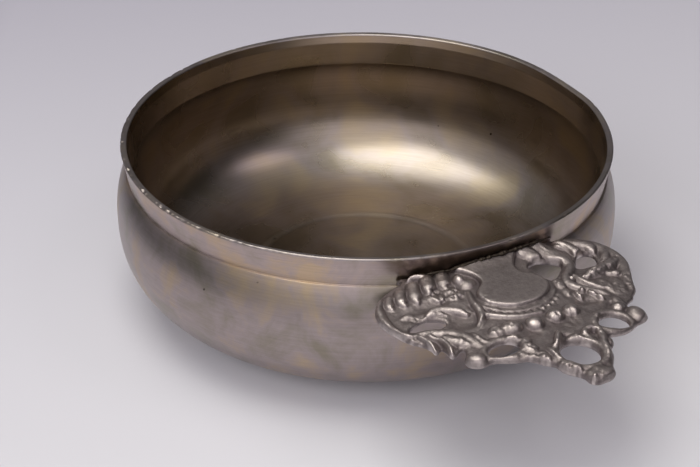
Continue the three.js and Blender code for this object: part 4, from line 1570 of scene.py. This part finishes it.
@dataclass(frozen=True)
class Studio:
    """Pale sweep of paper, a softbox overhead, a window to the right, and the photograph's camera.

    The fill is left out of reflections, so it evens out the paper and leaves no spot on the metal.
    """

    # Paper colours from pale in front to darker behind, a painted fall-off of the light, and how far the
    # painted shade reaches to the left and in front.
    paper_near: str = "e2e2e8"
    paper_far: str = "b1afbc"
    paper_way: tuple = (-0.35, 1.0, 0)
    paper_range: tuple = (-0.16, 0.26)
    lit_range: tuple = (0.13, 0.26)
    unlit: float = 0.35
    softbox: Lamp = Lamp("softbox", (-0.2, -0.04, 0.95), (0.8, 0.6), 5.1, "fdfbf1")
    fill: Lamp = Lamp("paper_fill", (-0.8, -0.95, 0.8), (0.9, 0.9), 7.0, "fbfbf8", in_reflections=False)
    window: Lamp = Lamp("window", (0.55, -0.1, 0.85), (0.3, 0.3), 0.5, "f8eaf2")
    lamp_target: tuple = (0, 0, 0.02)
    bright_side: tuple = (0.0, -0.92, 0.38)
    room: tuple = ((0, 0.14), (0.3, 0.2), (0.5, 0.27), (0.7, 0.38), (0.86, 0.62), (0.95, 1.0), (1, 1.1))
    room_tint: tuple = (1.03, 0.975, 1.0)
    dark_side: float = 0.12
    dark_range: tuple = (0.3, 0.75)
    rim_height: float = Bowl.rim_height
    lens: float = 90.514
    sensor: float = 36
    roll: float = 0.00543
    tilt: float = 0.53999
    camera_place: tuple = (-4.33, -423.07, 221.63)

    def floor(self) -> None:
        """Lay the sweep of paper that the bowl stands on, paler towards the camera and darker away from it: a
        painted fall-off of the light.

        Far to its left and towards the camera its colour is darkened too, painted shade for the lamps' light
        falling off.
        """
        mesh = bpy.data.meshes.new("paper_sweep")
        build = bmesh.new()
        bmesh.ops.create_grid(build, x_segments=24, y_segments=24, size=3.0)
        build.to_mesh(mesh)
        build.free()
        made = bpy.data.objects.new("paper_sweep", mesh)
        bpy.context.scene.collection.objects.link(made)
        material, shader, add = new_material("paper_matt_lavender")
        place = add("ShaderNodeTexCoord", take="Object")

        def along(way: Vector) -> Socket:
            """Distance along a direction."""
            return add("ShaderNodeVectorMath", {"operation": "DOT_PRODUCT", 1: way}, {0: place}, "Value")

        # Painted fall-off of the light: paler towards the camera, darker away from it.
        near, far = self.paper_range
        way = seen_from_camera(*self.paper_way).normalized()
        share = add("ShaderNodeMapRange", {"From Min": near, "From Max": far}, {0: along(way)})
        colours = add("ShaderNodeValToRGB", links={0: share})
        set_stops(colours, [(0, linear(self.paper_near)), (1, linear(self.paper_far))])
        ways = [seen_from_camera(1, 0, 0), seen_from_camera(0, 1, 0)]
        seen = add("ShaderNodeCombineXYZ", links={i: along(way) for i, way in enumerate(ways)})
        outside = add("ShaderNodeVectorMath", {"operation": "MINIMUM"}, {0: seen})
        reach = add("ShaderNodeVectorMath", {"operation": "LENGTH"}, {0: outside}, "Value")
        # Painted shade: far to the left and towards the camera the colour is darkened.
        near, far = self.lit_range
        lit_range = {"From Min": near, "From Max": far, "To Min": 1.0, "To Max": self.unlit}
        lit = add("ShaderNodeMapRange", lit_range, {0: reach})
        shaded = add("ShaderNodeVectorMath", {"operation": "SCALE"}, {0: colours, "Scale": lit})
        set_up(shader, {"Roughness": 0.95, "Specular IOR Level": 0.1}, {"Base Color": shaded})
        mesh.materials.append(material)

    def lights(self) -> None:
        """Hang the lamps, in a room that is bright behind the camera and dark to the right."""
        for lamp in (self.softbox, self.fill, self.window):
            lamp.hang(Vector(self.lamp_target))
        world = bpy.data.worlds.new("studio_room")
        bpy.context.scene.world = world
        world.use_nodes = True
        add = partial(add_node, world.node_tree)
        direction = add("ShaderNodeTexCoord", take="Generated")

        def facing(way: Vector) -> Socket:
            """How nearly a direction is faced, from -1 to 1."""
            return add("ShaderNodeVectorMath", {"operation": "DOT_PRODUCT", 1: way}, {0: direction}, "Value")

        bright = facing(seen_from_camera(*self.bright_side).normalized())
        share = add("ShaderNodeMapRange", {"From Min": -1.0, "From Max": 1.0}, {0: bright})
        ramp = add("ShaderNodeValToRGB", links={0: share})
        tint = np.array([*self.room_tint, 1])
        set_stops(ramp, [(position, tint * (level, level, level, 1)) for position, level in self.room])
        near, far = self.dark_range
        dim_range = {"From Min": near, "From Max": far, "To Min": 1.0, "To Max": self.dark_side}
        dimmed = add("ShaderNodeMapRange", dim_range, {0: facing(seen_from_camera(1, 0, 0))})
        shaded = add("ShaderNodeVectorMath", {"operation": "SCALE"}, {0: ramp, "Scale": dimmed})
        set_up(world.node_tree.nodes["Background"], {"Strength": 1.0}, {"Color": shaded})

    def camera(self) -> None:
        """Set up the camera where the rim, crease, foot and well of the bowl put it."""
        lens = bpy.data.cameras.new("camera")
        lens.lens, lens.sensor_width = self.lens, self.sensor
        lens.clip_start, lens.clip_end = 0.01, 20
        made = bpy.data.objects.new("camera", lens)
        right = seen_from_camera(1, 0, 0)
        forward = seen_from_camera(0, math.cos(self.tilt), -math.sin(self.tilt))
        up = seen_from_camera(0, math.sin(self.tilt), math.cos(self.tilt))
        cosine, sine = math.cos(self.roll), math.sin(self.roll)
        rolled_right = cosine * right + sine * up
        rolled_up = cosine * up - sine * right
        turned = Matrix((rolled_right, rolled_up, -forward)).transposed().to_4x4()
        x, y, z = self.camera_place
        place = seen_from_camera(x * MM, y * MM, (z + self.rim_height) * MM)
        made.matrix_world = Matrix.Translation(place) @ turned
        bpy.context.scene.collection.objects.link(made)
        bpy.context.scene.camera = made


def bowl_materials() -> list:
    """Make the bowl's three materials: worn outside with painted shade on its shoulder and a painted lighter
    collar, rubbed lip, and warmer inside with patina on its upper wall; outside and inside both have a
    painted darker middle disc.

    Returns:
        Materials in the order of the bowl's slots.
    """
    lip = TurnedPewter(
        name="pewter_lip_rubbed",
        warm="b0a597",
        mauve="a49c9c",
        dull="948c80",
        roughness=0.28,
        upper_patina_and_painted_sheen=(1, 1, 1),
    )
    inside = TurnedPewter(
        name="pewter_inside_tarnished",
        warm="ada08d",
        mauve="a09792",
        dull="948b7d",
        roughness=0.26,
        roughness_spread=0.07,
        anisotropy=0.4,
        patch_size=20,
        patch_detail=3,
        patch_roughness=0.5,
        # Warm patina on the upper inner wall, and no band of painted shade.
        upper_patina_and_painted_sheen=(0.9, 0.8, 0.66),
        upper_patina_and_sheen_heights=(9, 30),
        shade_band_colour=(1, 1, 1),
        stain_colour="8a7d6b",
    )
    finishes = {Skin.OUTSIDE: TurnedPewter(), Skin.LIP: lip, Skin.INSIDE: inside}
    return [finishes[skin].build() for skin in Skin]


def main() -> None:
    """Build the porringer and its studio."""
    logging.basicConfig(level=logging.INFO, format="%(name)s: %(message)s")
    scene = bpy.context.scene
    scene.view_settings.view_transform = "Standard"
    studio = Studio()
    studio.camera()
    studio.floor()
    studio.lights()

    bowl = Bowl()
    pieces = [(bowl.build(bowl_materials()), "pewter_turned", ["bowl"])]
    pieces.append((CastHandle(bowl).build(CastPewter().build()), "pewter_cast", ["handle"]))
    solder = CastPewter(name="solder_flux_darkened", hollow="4a433c", skin="8a8177", crest="cfc9c1").build()
    top_heights = (42.2, 42.6, 42.8, 43.7, 44.05, 44.1, 44.05, 43.8, 43.2)
    seams = [
        (SolderSeam("solder_seam_top", top_heights, 66.15, -17.3, 17.3), "solder_top"),
        (SolderSeam("solder_seam_under_left", (39.1, 39.1), 65.7, -17.2, -9.2, seed=5), "solder_under_left"),
        (SolderSeam("solder_seam_under_right", (39.1, 39.1), 65.7, 9.2, 17.2, seed=8), "solder_under_right"),
    ]
    for seam, node in seams:
        pieces.append((seam.build(solder), "solder", [node]))
    for made, slot, nodes in pieces:
        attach(made, BODY)
        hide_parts(*nodes)
        log.info("%s: %d vertices, stands for %s", made.name, len(made.data.vertices), ", ".join(nodes))


if __name__ == "__main__":
    main()
